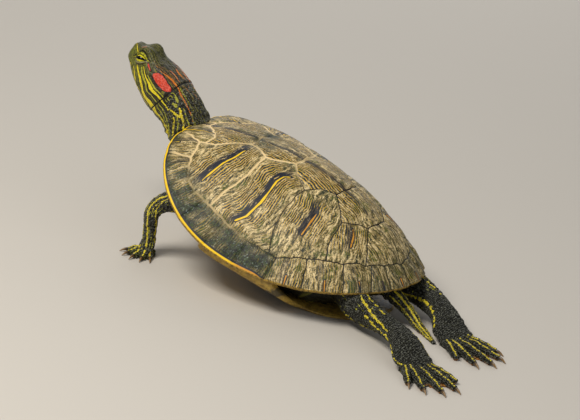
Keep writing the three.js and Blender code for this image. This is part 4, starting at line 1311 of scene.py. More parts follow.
# On the limbs, tail and digits: the share along, the angle round and the half width.
ARM_LINES = [
    [(0.3, -20, 0.6), (0.4, -41, 0.75), (0.44, -51, 0.75), (0.48, -62, 0.75), (0.52, -65, 0.75),
     (0.56, -64, 0.75), (0.64, -52, 0.7),
     (0.71, -54, 0.7), (0.82, -47, 0.7), (0.95, -48, 0.7)],
    [(0.45, -25, 0.3), (0.51, -15, 0.4), (0.58, 14, 0.6), (0.68, 32, 0.75), (0.78, 30, 0.8), (0.86, 37, 0.8),
     (0.97, 60, 0.6)],
    [(0.39, -17, 0.35), (0.43, -26, 0.35), (0.47, -34, 0.35), (0.52, -38, 0.3), (0.6, -24, 0.25)],
    [(0.2, 60, 0.5), (0.4, 75, 0.5), (0.6, 100, 0.5), (0.8, 120, 0.5), (0.95, 110, 0.4)],
    [(0.3, -110, 0.5), (0.6, -120, 0.6), (0.9, -115, 0.5)],
]
LEG_LINES = [
    [(0.35, -4, 0.7), (0.42, -7, 1.0), (0.47, -9, 1.1), (0.54, -5, 1.1), (0.62, 9, 0.9), (0.7, 18, 0.6)],
    [(0.45, -40, 0.5), (0.49, -42, 0.8), (0.57, -39, 0.8), (0.69, -16, 0.7), (0.79, -14, 0.8),
     (0.89, -3, 0.9), (0.98, 18, 0.8)],
    [(0.34, 22, 0.5), (0.42, 30, 0.7), (0.5, 40, 0.6), (0.6, 55, 0.4)],
    [(0.3, 130, 0.8), (0.5, 135, 1.0), (0.7, 150, 0.9), (0.9, 165, 0.7)],
    [(0.3, -120, 0.8), (0.6, -125, 0.9), (0.9, -140, 0.7)],
]
TAIL_LINES = [
    [(0.3, 60, 0.8), (0.6, 62, 0.7), (0.98, 60, 0.3)],
    [(0.3, 120, 0.8), (0.98, 120, 0.3)],
    [(0.3, 10, 0.5), (0.98, 8, 0.3)],
]
DIGIT_LINES = [[(0.12, -90, 0.3), (0.3, -90, 0.6), (0.8, -90, 0.65), (1, -90, 0.5)]]
HEAD_LINES = {"yellow": YELLOW, "fine": FINE, "rust": RUST, "orange": ORANGE, "red": RED}
WHORL_AT, WHORL_RADIUS = (51.3, 32), 5.6
# How the thin lines sink down the neck: millimetres back from the snout, and degrees.
DRIFT = [(14, -2), (20, -9), (29, -18), (35, -22), (41, -20), (45, -23), (50, -32), (63, -36), (76, -46)]
FAR = 9.0  # stored where no such marking is near
HEAD_DEGREE, DIGIT_DEGREE = 0.27, 0.045  # millimetres in a degree round the head, and round a digit
print("lines:", {name: len(lines) for name, lines in HEAD_LINES.items()})


def from_lines(lines, run, angle, per_degree, scale=1.0):
    """Signed distance to the edge of the nearest line: across is the angle's gap times the millimetres in a
    degree, and past an end it is the distance on."""
    best = np.full(len(run), FAR)
    for line in lines:
        row = np.array(line, float)
        past = np.maximum(np.maximum(row[0, 0] - run, run - row[-1, 0]), 0) * scale
        across = np.abs(angle - np.interp(run, row[:, 0], row[:, 1])) * per_degree
        best = np.minimum(best, np.hypot(across, past) - np.interp(run, row[:, 0], row[:, 2]))
    return best


# %% Markings of the head
def about_head(points):
    """For each point: how far back from the snout, the angle round, and whether it is on the head or neck
    at all. The head's own frame gives way to the neck's path over five millimetres."""
    own = into_head(points)
    back = own[:, 1]
    top, under, half = (profile(HEAD_STATIONS, back, k) for k in (1, 2, 3))
    middle = lerp(top, under, 0.52)
    height = np.where(own[:, 2] > middle, top - middle, middle - under)
    angle = np.degrees(np.arctan2((own[:, 2] - middle) / height, np.abs(own[:, 0]) / half))
    on_neck = place_on(neck_plan, points)
    neck_angle = 90 - np.abs(90 - np.abs(on_neck[:, 1]))
    neck_angle = neck_angle * np.sign(on_neck[:, 1])
    with_neck = ease(back, NECK_START - 1, NECK_START + 4)
    run = lerp(np.minimum(back, NECK_START + 4), NECK_START + on_neck[:, 0] * neck_plan["length"], with_neck)
    fore = on_neck[:, 2] < 1.6
    fore |= (back < NECK_START + 3) & (np.abs(own[:, 0]) < 26) & (np.abs(own[:, 2]) < 30)
    return run, lerp(angle, neck_angle, with_neck), fore


def from_opening(points):
    """How far out of the eye's opening, above 0 on the upper lid and below 0 on the lower: the gap from its
    middle times (1 - 1 / its size in openings)."""
    u, v, w, away = eye_places(into_head(points))
    open_at = np.sqrt(opening(u * LID_RADIUS / away, v * LID_RADIUS / away))
    flat = np.hypot(u, v) + 0.01
    beyond = flat * (1 - 1 / np.maximum(open_at, 0.1)) / np.maximum(np.abs(v) / flat, 0.22) ** 0.8
    near_eye = (away < 10) & (w > -1) & (open_at > 0.6)
    return np.where(near_eye, (np.maximum(beyond, 0) + 0.01) * np.where(v > 0, 1, -1), FAR)


def head_marks(points, waver):
    """The markings of head and neck, as signed distances, with how green and how bare the skin is there.
    Also whether each point is on them."""
    run, angle, fore = about_head(points)
    marks = {key: from_lines(lines, run, angle, HEAD_DEGREE) + waver for key, lines in HEAD_LINES.items()}
    # the lines curl into a whorl behind the red patch
    ring = np.hypot(run - WHORL_AT[0], (angle - WHORL_AT[1]) * HEAD_DEGREE) + 0.9 * ripple(points, 8, 42)
    whorl = np.minimum(np.abs(ring - 3.6) - 0.25 + 0.3 * ripple(points, 5, 48), np.abs(ring - 1.2) - 0.35)
    marks["fine"] = np.where(ring < WHORL_RADIUS, whorl, marks["fine"])
    # between the drawn lines, thin ones every eight degrees drift down the neck with them
    strands = angle - np.interp(run, *np.array(DRIFT).T) * (1 - ease(angle, 15, 50))
    weave = np.abs((strands / 8 + 0.22 * ripple(points, 12, 43)) % 1 - 0.5) * 8 * HEAD_DEGREE
    thin = weave - 0.22 + 0.3 * ease(ripple(points, 7, 44), 0, 0.8)
    marks["thin"] = np.where(ring < WHORL_RADIUS, 1.0, thin)
    low_down = 0.25 * (1 - ease(angle, -40, -10))
    marks["green"] = (1 - ease(run, 12, 34)) * (1 - 0.75 * ease(angle, 25, 55)) + low_down
    marks["bare"] = 1 - ease(run, 46, 56)
    # Distance from the nape's crease, along which the material paints a dark line of shade.
    marks["fold"] = np.where(fore, run - np.interp(angle, *np.array(NAPE).T), FAR)
    marks["lid"] = from_opening(points)
    return marks, fore


# %% Markings of the limbs, and all together
def foot_marks(marks, limb, points, waver):
    """Draws a stripe along the top of each digit, and how brown the edge of a hind foot's web is."""
    near = np.flatnonzero(np.linalg.norm(points - limb["palm"], axis=1) < 48)
    for own_digit in digits_of(limb):
        share, turn, out = place_on(digit_plan(limb, *own_digit), points[near]).T
        line = from_lines(DIGIT_LINES, share, turn, DIGIT_DEGREE, 20) + waver[near]
        on_digit = near[out < 1.5]
        for key in ("fine", "orange", "rust", "red", "thin"):
            marks[key][on_digit] = FAR
        marks["yellow"][on_digit] = np.minimum(marks["yellow"][on_digit], line[out < 1.5])
    away = np.hypot(*(points[near] - limb["palm"])[:, :2].T) / (max(limb["reaches"]) * limb["web"])
    brown = ease(away, 0.72, 0.95) * (points[near, 2] < 1.6) * (limb["kind"] == "hind")
    marks["web"][near] = np.maximum(marks["web"][near], brown)


def markings(points):
    """Every marking at each point. Those of the head come first, and each limb then draws over the points
    it is nearest to."""
    waver = 0.12 * ripple(points, 5, 41)
    marks, fore = head_marks(points, waver)
    marks["web"] = np.zeros(len(points))
    best = np.where(fore, 0.0, 1.5)
    for name, plan in plans.items():
        if name == "neck":
            continue
        t, turn, out = place_on(plan, points).T
        limb = limbs.get(name, {"side": 1, "kind": "tail"})
        hind = limb["kind"] == "hind"
        lines = {"front": ARM_LINES, "hind": LEG_LINES, "tail": TAIL_LINES}[limb["kind"]]
        turn = turn * limb["side"]
        size = np.interp(t, plan["t"], (plan["wide"] + plan["high"]) / 2) * np.pi / 180
        here = (out < best) & ~fore | ((out < 1.3) & ~fore & (best > 1.4))
        spots = (0.5 * ripple(points, 2.6, 45) + 0.4 * ripple(points, 5, 49) + 0.1) * hind
        yellow = from_lines(lines, t, turn, size, plan["length"]) + spots + waver
        weave = np.abs((turn / 24 + 0.3 * ripple(points, 16, 46)) % 1 - 0.5) * 24 * size - 0.3
        fine = weave + 0.5 * ease(ripple(points, 6, 47), -0.4, 0.6) + 2 * ease(t, 0.55, 0.75) * hind
        off_end = t > 0.985
        drawn = {"yellow": np.where(off_end, FAR, yellow), "fine": np.where(off_end, FAR, fine),
                 "orange": FAR, "rust": FAR, "red": FAR, "thin": FAR, "green": 0.0, "bare": 0.0}
        for key, values in drawn.items():
            marks[key] = np.where(here, values, marks[key])
        best = np.where(here, out, best)
        if name in limbs:
            foot_marks(marks, limb, points, waver)
    return marks


skin_marks = markings(skin_points)
for key, values in skin_marks.items():
    number_on(skin, key, values)
print("shares marked:", {key: round(float((values < 0).mean()), 3) for key, values in skin_marks.items()})

# %% [markdown]
# ## Scales
# Small granular scales cover the neck, the limbs and the tail, and lie along them. A bump in the
# material would look flat at the outline, so each is a closed low dome of horn on six sides, whose far
# edge stands a little proud. It carries the skin's own markings at its root, so the stripes run on.

# %% Where the scales grow
SCALE_REACH = 0.56  # a scale's radius, as a share of the distance between two
SCALE_PATCH = 0.0015  # half its patch of the bake map
# Each coat: its tubes, the share along where it starts, the spacing and the height in millimetres.
COATS = {
    "scales_neck": (("neck",), 0.03, 1.35, 0.2), "scales_arms": (("arm_left", "arm_right"), 0.3, 1.2, 0.26),
    "scales_leg_left": (("leg_left",), 0.28, 1.5, 0.42),
    "scales_leg_right": (("leg_right",), 0.28, 1.5, 0.42),
    "scales_tail": (("tail",), 0.25, 1.3, 0.26),
}
skin_normals = normals_of(skin)
owners = np.argmin(np.stack([places[name][:, 2] for name in plans]), 0)
corner_points = corners_of(skin)
corner_map = np.empty(len(corner_points) * 2, np.float32)
skin.data.uv_layers["OFBake"].uv.foreach_get("vector", corner_map)
root_map = np.zeros((len(skin_points), 2))
root_map[corner_points] = corner_map.reshape(-1, 2)
# A root is a vertex, as a pair with itself, or the middle of an edge.
places_to_root = np.concatenate([np.column_stack([np.arange(len(skin_points))] * 2), edges_of(skin)])
print("places to root:", len(places_to_root))


def roots_of(tubes, start, spacing):
    """Skin vertices and edge middles, at most one to a cube of the spacing: the one nearest its middle."""
    names = list(plans)
    own = np.isin(owners, [names.index(tube) for tube in tubes])
    share = np.max([places[tube][:, 0] for tube in tubes], 0)
    up = skin_points[:, 2]
    own &= (share > start) & (skin_marks["bare"] < 0.4) & (skin_marks["web"] < 0.5) & (up > 0.7)
    own &= (skin_normals[:, 2] > -0.6) | (up > 3)
    picked = places_to_root[own[places_to_root].all(1)]
    at = skin_points[picked].mean(1)
    middle = (np.floor(at / spacing) + 0.5) * spacing
    away = np.linalg.norm(at - middle, axis=1)
    order = np.argsort(away)
    order = order[away[order] < 0.6 * spacing]
    _, first = np.unique(np.floor(at[order] / spacing).astype(int), axis=0, return_index=True)
    return picked[order[first]]


# %% The coats
def make_scales(name, tubes, start, spacing, height):
    """Each scale is a closed dome on six sides: a sunk ring, a raised smaller ring and a top."""
    roots = roots_of(tubes, start, spacing)
    at, out = skin_points[roots].mean(1), unit(skin_normals[roots].mean(1))
    lay = np.zeros_like(at)
    for tube in tubes:
        ways = np.gradient(plans[tube]["at"], axis=0)
        own = np.interp(places[tube][roots[:, 0], 0], plans[tube]["t"], np.arange(len(ways))).astype(int)
        near = places[tube][roots[:, 0], 2] < 30
        lay[near] = ways[own[near]]
    lay = unit(lay - out * (lay * out).sum(1)[:, None])
    across = np.cross(out, lay)
    size = spacing * SCALE_REACH * np.random.default_rng(61).uniform(0.8, 1.1, len(at))[:, None, None]
    turns = np.arange(6) * np.pi / 3
    hexagon = np.column_stack([np.cos(turns), np.sin(turns)])
    ring = hexagon[:, :1] * lay[:, None] * 1.15 + hexagon[:, 1:] * across[:, None]
    base = at[:, None] + ring * size - out[:, None] * 0.2
    lift = height * (1 + 0.35 * np.cos(turns))[None, :, None]
    upper = at[:, None] + ring * size * 0.68 + out[:, None] * lift
    top = at[:, None] + out[:, None] * height * 1.25
    points = np.concatenate([base, upper, top], 1)
    points[..., 2] = np.maximum(points[..., 2], 0.02)
    first = np.arange(len(at))[:, None, None] * points.shape[1]
    side = np.arange(6)
    after = (side + 1) % 6
    under = first[:, 0] + side[::-1]
    walls = (first + np.stack([side, after, after + 6, side + 6], -1)).reshape(-1, 4)
    lids = (first + np.stack([side + 6, after + 6, np.full(6, 12)], -1)).reshape(-1, 3)
    made = new_mesh(name, points.reshape(-1, 3), [under, walls, lids])
    spots = np.concatenate([hexagon, 0.6 * hexagon, [[0, 0]]])
    patch = (root_map[roots[:, 0]][:, None] + spots * SCALE_PATCH).reshape(-1, 2)
    map_on(made, "OFBake", patch[np.concatenate([under.ravel(), walls.ravel(), lids.ravel()])])
    for key, values in skin_marks.items():
        number_on(made, key, np.repeat(values[roots].mean(1), points.shape[1]))
    # rise is 0 at a scale's base, 0.8 on its raised ring and 1 at its top; the skin material paints a grey
    # highlight by it.
    number_on(made, "rise", np.tile(np.repeat([0.0, 0.8, 1.0], [6, 6, 1]), len(at)))
    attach(made, "root")
    print(f"{name}: {len(at)} scales, {len(at) * 22} triangles")
    return made


coats = [make_scales(name, *settings) for name, settings in COATS.items()]

# %% [markdown]
# ## Eyes and claws
# The eye is a wet ball with a bright yellow iris, crossed by a dark bar through a round pupil. It could
# be a plain sphere, but the front of a real one bulges, and that is what catches the light. Each claw
# is a cone bent along a short path, of dark horn that is paler at its tip.

# %% Eyes
CORNEA_BULGE = 0.25
WHOLE_CHART = (0.05, 0.05, 0.95, 0.95)  # a piece alone on its bake map


def make_eye(name, side):
    """A ball whose front bulges a little as the cornea, and whose map holds millimetres along and up from
    the pupil."""
    rings, sides, pole = 40, 64, 0.02
    polar = np.linspace(pole, np.pi - pole, rings)
    turn = 2 * np.pi * np.arange(sides) / sides
    axes = [a * np.array([side, 1, 1]) for a in (EYE_LEVEL, EYE_UP, EYE_LOOK)]
    u, v = np.sin(polar)[:, None] * np.cos(turn), np.sin(polar)[:, None] * np.sin(turn)
    w = np.cos(polar)[:, None] + 0 * turn
    radius = EYE_RADIUS + CORNEA_BULGE * (1 - ease(polar, 0.2, 0.75))[:, None]
    middle = EYE_AT * [side, 1, 1]
    points = middle + radius[...,
                             None] * (u[..., None] * axes[0] + v[..., None] * axes[1] + w[..., None]
                                      * axes[2])
    made = tube_mesh(name + "_ball", from_head(points), WHOLE_CHART)
    own = into_head(vertices_of(made)) - middle
    map_on(made, "Iris", np.column_stack([own @ axes[0], own @ axes[1]])[corners_of(made)])
    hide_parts(name)
    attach(made, "root")
    return made


eyes = [make_eye("eye_left", 1), make_eye("eye_right", -1)]
print("eyes:", [len(eye.data.polygons) for eye in eyes], "faces")


# %% Claws
def make_claw(name, limb, tip, aim):
    """A cone that bends down and narrows to a blunt point, and stays above the floor."""
    thick, length = limb["thick"] * 0.66, limb["claw"]
    start = tip - aim * 0.8
    middle = start + aim * length * 0.55 + [0, 0, thick * 0.25]
    end = start + aim * (length + 0.8)
    end[2] = max(thick * 0.3, end[2] - thick * 0.9)
    across = np.array([-aim[1], aim[0], 0])
    plan = tube_plan([start, middle, end], lambda t: across, lambda t: thick * lerp(0.8, 0.1, t**1.4),
                     lambda t: thick * lerp(1.0, 0.12, t**1.4), 2.0, 60)
    made = tube_mesh(name + "_horn", rings_along(plan, 20, 0.35), WHOLE_CHART)
    number_on(made, "along", np.clip(((vertices_of(made) - start) @ aim) / length, 0, 1))
    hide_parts(name)
    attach(made, "root")
    return made


claws = []
for limb_name, limb in limbs.items():
    stem = f"claw_{limb['kind']}_{limb_name.split('_')[1]}"
    for k, (root, tip, aim) in enumerate(digits_of(limb)[:limb["claws"]]):
        claws.append(make_claw(f"{stem}_{k + 1}", limb, tip, aim))
print("claws:", len(claws))

# %% [markdown]
# ## Finishes
# Horn and skin take their colours from pigment under a clear layer, so both are plain dielectrics with
# an index near 1.5. A picture could hold the colours, but it would have a fixed sharpness. Here they come
# from the stored distances and from noise in millimetres, sharp at any size.

# %% Material tools
def paint(code):
    """A linear colour from an sRGB hex code: below 0.04045 it is a twelfth, above it ((c + 0.055) / 1.055)
    to the 2.4."""
    parts = [int(code[k:k + 2], 16) / 255 for k in (1, 3, 5)]
    return (*[c / 12.92 if c <= 0.04045 else ((c + 0.055) / 1.055) ** 2.4 for c in parts], 1)


def new_material(name, roughness, ior=1.5, specular=0.5):
    """A material with one Principled shader, a helper that adds nodes to it, and one that finishes it."""
    made = bpy.data.materials.new(name)
    made.use_nodes = True
    tree = made.node_tree
    shader = tree.nodes["Principled BSDF"]
    shader.inputs["Roughness"].default_value = roughness
    shader.inputs["IOR"].default_value = ior
    shader.inputs["Specular IOR Level"].default_value = specular

    def fill(socket, value):
        """Another node's output is joined to the socket, a hex code is its colour, and None leaves it."""
        if isinstance(value, bpy.types.NodeSocket):
            tree.links.new(value, socket)
        elif isinstance(value, str):
            socket.default_value = paint(value)
        elif value is not None:
            socket.default_value = value

    def add(kind, *inputs, out=0, **settings):
        """Adds a node, fills its inputs in order and gives one of its outputs. A kind in capitals is an
        operation of Math, or the smooth step of Map Range."""
        if kind == "SMOOTHSTEP":
            kind, settings["interpolation_type"] = "MapRange", kind
        elif kind.isupper():
            kind, settings["operation"] = "Math", kind
        node = tree.nodes.new("ShaderNode" + kind)
        for key, value in settings.items():
            setattr(node, key, value)
        for socket, value in zip(node.inputs, inputs):
            fill(socket, value)
        return node.outputs[out]

    def finish(colour, height=None, distance=0.0):
        """Gives the shader its colour and a bump, whose full height is the distance in millimetres."""
        fill(shader.inputs["Base Color"], colour)
        if height is not None:
            fill(shader.inputs["Normal"], add("Bump", 1.0, distance * MM, None, height))
        print("material:", name, len(tree.nodes), "nodes")

    return made, add, finish


def dress(pieces, look):
    """Gives the pieces one material."""
    for piece in pieces:
        piece.data.materials.clear()
        piece.data.materials.append(look)


# %% [markdown]
# ## The carapace's horn
# Keratin laid down in layers, then worn by mud and sun: matt, streaked along the growth, with weed in
# what stays wet. One noise for everything would look like stone. Streaks are noise stretched along each
# scute's bar, patches are round noise, and each mark is drawn from its own stored distance.

# %% Streaks and patches
horn, add, finish = new_material("horn_of_carapace", roughness=0.5, ior=1.54, specular=0.3)
(along, off_bar), (to_seam, tone), (to_paint, lined), (algae, pale_seams) = (
    add("SeparateXYZ", add("UVMap", uv_map=key)).node.outputs[:2]
    for key in ("Bar", "Horn", "Paint", "Stain"))
place = add("VectorMath", add("TexCoord", out="Object"), (1 / MM,) * 3, operation="MULTIPLY")
# Noise by its cells to the millimetre: patches of 18 and 9 mm, mottling of 3.3 and 2 mm, specks of 1.2 mm.
slow = add("TexNoise", place, None, 0.055, 2.0)
quick = add("TexNoise", place, None, 0.3, 3.0)
mottle = add("TexNoise", place, None, 0.5, 7.0, 0.78)
cover = add("TexNoise", place, None, 0.11, 4.0, 0.6)
speck = add("TexNoise", place, None, 0.85, 4.0, 0.7)
# Fibres are 7 mm long and 1.6 mm apart, and differ from scute to scute.
shift = add("ADD", add("MULTIPLY", slow, 9.0), add("MULTIPLY", quick, 0.5))
across = add("ADD", off_bar, shift)
strand = add("CombineXYZ", add("MULTIPLY", along, 0.14), add("MULTIPLY", across, 0.62), tone)
fibre = add("TexNoise", strand, None, 1.0, 6.0, 0.72)
colour = add("MixRGB", add("SMOOTHSTEP", mottle, 0.42, 0.6), "#5f5a30", "#c4ab74")
colour = add("MixRGB", add("SMOOTHSTEP", fibre, 0.5, 0.58), colour, "#e8d19c")
colour = add("MixRGB", add("SMOOTHSTEP", fibre, 0.48, 0.41), colour, "#2f331d")
colour = add("MixRGB", add("SMOOTHSTEP", speck, 0.44, 0.38), colour, "#141c26")
colour = add("MixRGB", add("SMOOTHSTEP", speck, 0.6, 0.68), colour, "#f3e0b0")
moss = add("MULTIPLY", add("SMOOTHSTEP", cover, 0.52, 0.62), add("SMOOTHSTEP", mottle, 0.42, 0.56))
colour = add("MixRGB", moss, colour, "#4c5a1c")

# %% Lines and bars
# A wave of 1.75 mm across the bar is yellow on its crests and blue-black in its troughs.
LINE_SPACING = 1.75
wave = add("SINE", add("MULTIPLY", across, 2 * math.pi / LINE_SPACING))
patchy = add("MULTIPLY", lined, add("SMOOTHSTEP", cover, 0.36, 0.5))
patchy = add("MULTIPLY", patchy, add("SMOOTHSTEP", speck, 0.64, 0.5))
trough = add("MULTIPLY", add("SMOOTHSTEP", wave, 0.4, -0.3), patchy)
colour = add("MixRGB", trough, colour, "#141c2a")
crest = add("MULTIPLY", add("SMOOTHSTEP", wave, 0.55, 0.9), patchy)
colour = add("MixRGB", crest, colour, "#d9ad2c")
# A broad dark band lies along one side of each bar.
band = add("MULTIPLY", add("SMOOTHSTEP", off_bar, 0.7, 1.3), add("SMOOTHSTEP", off_bar, 6.0, 4.2))
worn_off = add("MULTIPLY", lined, add("SMOOTHSTEP", fibre, 0.66, 0.54))
colour = add("MixRGB", add("MULTIPLY", band, worn_off), colour, "#121826")

# %% Seams, weed and the rim
# Seams are pale in front and dark behind, and lost under weed.
frayed = add("ADD", to_seam, add("MULTIPLY_ADD", speck, 2.2, -1.1))
clean = add("SUBTRACT", 1.0, add("MULTIPLY", algae, 0.85))
pale = add("MULTIPLY", add("SMOOTHSTEP", frayed, 1.0, 0.5), add("MULTIPLY", pale_seams, clean))
colour = add("MixRGB", pale, colour, "#e6cc98")
dark_seam = add("MULTIPLY", add("SMOOTHSTEP", to_seam, 0.55, 0.25), add("SUBTRACT", 1.0, pale_seams))
colour = add("MixRGB", dark_seam, colour, "#15130e")
weed = add("MixRGB", add("SMOOTHSTEP", mottle, 0.44, 0.6), "#060a05", "#35441a")
weed = add("MixRGB", add("SMOOTHSTEP", speck, 0.58, 0.66), weed, "#7c8c86")
colour = add("MixRGB", add("MULTIPLY", algae, add("SMOOTHSTEP", fibre, 0.28, 0.46)), colour, weed)
# The bars and the rim's edge are yellow in a dark outline, and more orange behind.
colour = add("MixRGB", add("SMOOTHSTEP", to_paint, 1.1, 0.5), colour, "#20262c")
yellow = add("MixRGB", add("SMOOTHSTEP", pale_seams, 0.6, 0.1), "#f7cb10", "#d2922a")
yellow = add("MixRGB", add("SMOOTHSTEP", mottle, 0.56, 0.7), yellow, "#f8e58a")
colour = add("MixRGB", add("SMOOTHSTEP", to_paint, 0.12, -0.15), colour, yellow)
underside = add("MixRGB", add("SMOOTHSTEP", mottle, 0.4, 0.6), "#6a5423", "#b3923f")
colour = add("MixRGB", add("GREATER_THAN", pale_seams, 1.5), colour, underside)
finish(colour, fibre, 0.35)
dress([carapace], horn)

# %% [markdown]
# ## The plastron's horn
# The same keratin, kept smooth by sliding over mud: yellow, with dark blotches. They are partly pigment
# that pooled and partly painted shade that darkens this underside, which lies in the shell's shadow. It
# could share the carapace's recipe, but it has no bars or weed, so plain noise of two sizes is enough.

# %% The plastron's horn
belly, add, finish = new_material("horn_of_plastron", roughness=0.45, ior=1.54)
place = add("VectorMath", add("TexCoord", out="Object"), (1 / MM,) * 3, operation="MULTIPLY")
mottle = add("TexNoise", place, None, 0.25, 5.0, 0.7)  # 4 mm
blotch = add("TexNoise", place, None, 0.045, 3.0, 0.6)  # 22 mm
colour = add("MixRGB", add("SMOOTHSTEP", mottle, 0.35, 0.65), "#8f7233", "#c9a84a")
# Dark blotches: partly the plastron's pigment, partly painted shade for an underside that lies in shadow.
colour = add("MixRGB", add("MULTIPLY", add("SMOOTHSTEP", blotch, 0.56, 0.62), 0.85), colour, "#25251a")
finish(colour, mottle, 0.15)
dress([plastron], belly)

# %% [markdown]
# ## Skin
# Thin leathery skin, dry here but still a little glossy: nearly black, greener on the face, with the
# lines laid over it from the finest to the boldest. Painting them on a map would be the usual way. The
# stored distances need no picture, and the scales read the same ones.

# %% Skin: the ground and the lines
skin_look, add, finish = new_material("turtle_skin", roughness=0.4, ior=1.45, specular=0.35)
place = add("VectorMath", add("TexCoord", out="Object"), (1 / MM,) * 3, operation="MULTIPLY")
mark = {key: add("Attribute", attribute_name=key, out="Fac") for key in skin_marks}
# Grain of 1.8 mm, flecks of 0.9 mm and cells of 1.25 mm.
grain = add("TexNoise", place, None, 0.55, 5.0, 0.65)
flecks = add("TexNoise", place, None, 1.1, 3.0, 0.7)
cells = add("TexVoronoi", place, None, 0.8)
dark = add("MixRGB", add("SMOOTHSTEP", grain, 0.42, 0.68), "#0b0c09", "#2b2b1c")
green = add("MixRGB", add("SMOOTHSTEP", grain, 0.36, 0.6), "#4f5714", "#8c9423")
colour = add("MixRGB", mark["green"], dark, green)
crown = add("MixRGB", add("SMOOTHSTEP", flecks, 0.5, 0.62), "#2b2a1d", "#6b6150")
colour = add("MixRGB", add("MULTIPLY", mark["bare"], 0.5), colour, crown)
colour = add("MixRGB", add("SMOOTHSTEP", mark["thin"], 0.15, -0.1), colour, "#6f6c2a")
# Each kind of line: its two colours, and whether it has a dark outline.
LINE_COLOURS = {
    "fine": ("#9a9a28", "#c2bc3a", False), "rust": ("#7d5227", "#a8743a", False),
    "yellow": ("#d6c014", "#efe03c", True), "orange": ("#b85c1a", "#d98a2c", False),
    "red": ("#b02a14", "#da5236", True),
}
for key, (code, light_code, outlined) in LINE_COLOURS.items():
    if outlined:
        colour = add("MixRGB", add("SMOOTHSTEP", mark[key], 0.75, 0.3), colour, "#0c0f10")
    shade = add("MixRGB", add("SMOOTHSTEP", flecks, 0.4, 0.65), code, light_code)
    colour = add("MixRGB", add("SMOOTHSTEP", mark[key], 0.12, -0.12), colour, shade)

# %% Skin: the lids, painted shade in the creases, painted highlights on the scales, and the webs
# Rings round the eye, from one distance to another out of its opening, and how soft each end is.
LIDS = {
    "upper lid": (0.25, 0.35, 1.9, 1.5,
                  add("MixRGB", add("SMOOTHSTEP", flecks, 0.42, 0.6), "#5e6214", "#b5b01c")),
    "lower lid": (-0.25, -0.35, -1.5, -1.3, "#7d7c50"),
    "lower rim": (-1.3, -1.5, -2.1, -1.9, "#3a1d08"),
}
for start, full, end, fade, shade in LIDS.values():
    ring = add("MULTIPLY", add("SMOOTHSTEP", mark["lid"], start, full),
               add("SMOOTHSTEP", mark["lid"], end, fade))
    colour = add("MixRGB", ring, colour, shade)
# Painted shade: a dark line along the crease at the nape, drawn over the stripes.
fold = add("SMOOTHSTEP", add("ABSOLUTE", mark["fold"]), 0.7, 0.25)
colour = add("MixRGB", fold, colour, "#0b0b08")
# Painted shade: a dark ring in the crease over the upper lid, drawn over the stripes.
crease = add("MULTIPLY", add("SMOOTHSTEP", mark["lid"], 1.5, 1.9), add("SMOOTHSTEP", mark["lid"], 2.6, 2.3))
colour = add("MixRGB", crease, colour, "#16170c")
# Painted shade: a dark line where the lids meet the eyeball.
edge = add("SMOOTHSTEP", add("ABSOLUTE", mark["lid"]), 0.38, 0.22)
colour = add("MixRGB", edge, colour, "#0a0a08")
# Painted highlight: the raised rings and tops of some scales are lightened to grey, where a wet sheen would
# catch the light.
scale_highlight = add("TexNoise", place, None, 0.75, 2.0, 0.6)
rise = add("Attribute", attribute_name="rise", out="Fac")
scale_highlight = add("MULTIPLY", rise, add("SMOOTHSTEP", scale_highlight, 0.42, 0.66))
colour = add("MixRGB", add("MULTIPLY", scale_highlight, 0.6), colour, "#8f9184")
web = add("MixRGB", add("SMOOTHSTEP", grain, 0.35, 0.6), "#5a3413", "#c98a3c")
colour = add("MixRGB", mark["web"], colour, web)
finish(colour, cells, 0.35)
dress([skin, *coats], skin_look)

# %% [markdown]
# ## Eye and claw
# A wet eye is water over a cornea, so it is very smooth with an index of 1.36. A clear cornea over a
# carved iris would be truer close up, but at this size one glossy ball reads the same. Claws are dry
# keratin, dark at the root and worn paler at the tip.

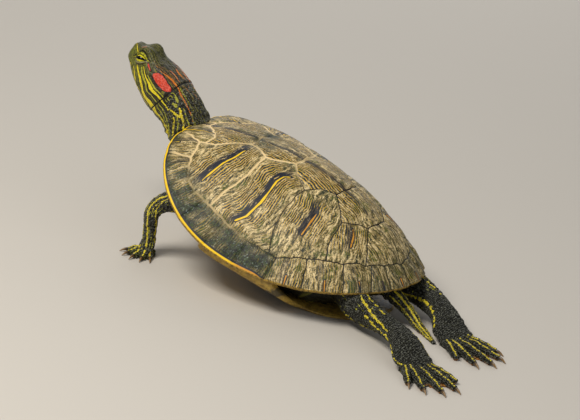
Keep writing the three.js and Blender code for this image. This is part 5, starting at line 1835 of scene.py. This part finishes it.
# %% Eye and claw
BAR_LONG, BAR_HIGH, PUPIL_RADIUS = 5.6, 1.3, 1.35
wet, add, finish = new_material("wet_eye", roughness=0.06, ior=1.36)
on_iris = add("UVMap", uv_map="Iris")
side_on, up_on = add("SeparateXYZ", on_iris).node.outputs[:2]
bar = add("ADD", *(add("POWER", add("DIVIDE", value, size), 2.0)
                        for value, size in ((up_on, BAR_HIGH), (side_on, BAR_LONG))))
pupil = add("LESS_THAN", add("VectorMath", on_iris, out="Value", operation="LENGTH"), PUPIL_RADIUS)
black = add("MAXIMUM", add("LESS_THAN", bar, 0.75), pupil)
finish(add("MixRGB", black, "#c4bb1a", "#030303"))
dress(eyes, wet)
claw_look, add, finish = new_material("claw_horn", roughness=0.35, ior=1.54)
tip = add("Attribute", attribute_name="along", out="Fac")
finish(add("MixRGB", add("SMOOTHSTEP", tip, 0.2, 1.0), "#1d1812", "#8a6a3c"))
dress(claws, claw_look)

# %% [markdown]
# ## Floor and light
# A model is lit so that its relief shows. The floor is one wide pale plane of matt paint. A large soft
# lamp stands above to the left, a weak cool one fills the right, and one behind lifts the edges. A
# small lamp would draw hard shadows, and a bare sky would flatten the grooves.

# %% Floor and lights
FLOOR_HALF = 3000.0
TARGET = np.array([0, 0, 0.05])
SKY_GREY, SKY_STRENGTH = 0.8, 0.28
# Each lamp: the way to it, in shares of the view's back, its right and straight up, how far that is
# multiplied, its width in metres, its watts and its colour.
LAMPS = {
    "key": ((0.5, -0.55, 0.9), 1.1, 0.5, 15.5, (1, 0.95, 0.87)),
    "fill": ((0.8, 0.7, 0.3), 1.2, 1.2, 2.2, (0.92, 0.96, 1)),
    "rear": ((-0.9, 0, 0.7), 1.2, 1.0, 3, (1, 1, 1)),
}


def light(name, way, far, width, watts, colour):
    """A square soft lamp that looks at the target."""
    lamp = bpy.data.objects.new(name, bpy.data.lights.new(name, "AREA"))
    lamp.data.size, lamp.data.energy, lamp.data.color = width, watts, colour
    back, right, up = way
    away = Vector((VIEW_BACK * back + VIEW_RIGHT * right + np.array([0, 0, up])) * far)
    turn = away.to_track_quat("Z", "Y").to_matrix().to_4x4()
    lamp.matrix_world = Matrix.Translation(Vector(TARGET) + away) @ turn
    scene.collection.objects.link(lamp)


square = np.array([[-1, -1, 0], [1, -1, 0], [1, 1, 0], [-1, 1, 0]])
floor = new_mesh("floor", square * FLOOR_HALF, [[[0, 1, 2, 3]]])
ground, add, finish = new_material("pale_floor", roughness=0.85)
finish("#c9c4bc")
dress([floor], ground)
for name, settings in LAMPS.items():
    light(name, *settings)
world = bpy.data.worlds.new("studio")
scene.world = world
world.use_nodes = True
sky = world.node_tree.nodes["Background"].inputs
sky["Color"].default_value = (SKY_GREY, SKY_GREY, SKY_GREY, 1)
sky["Strength"].default_value = SKY_STRENGTH
scene.view_settings.view_transform = "Standard"
print("lamps:", len(LAMPS))
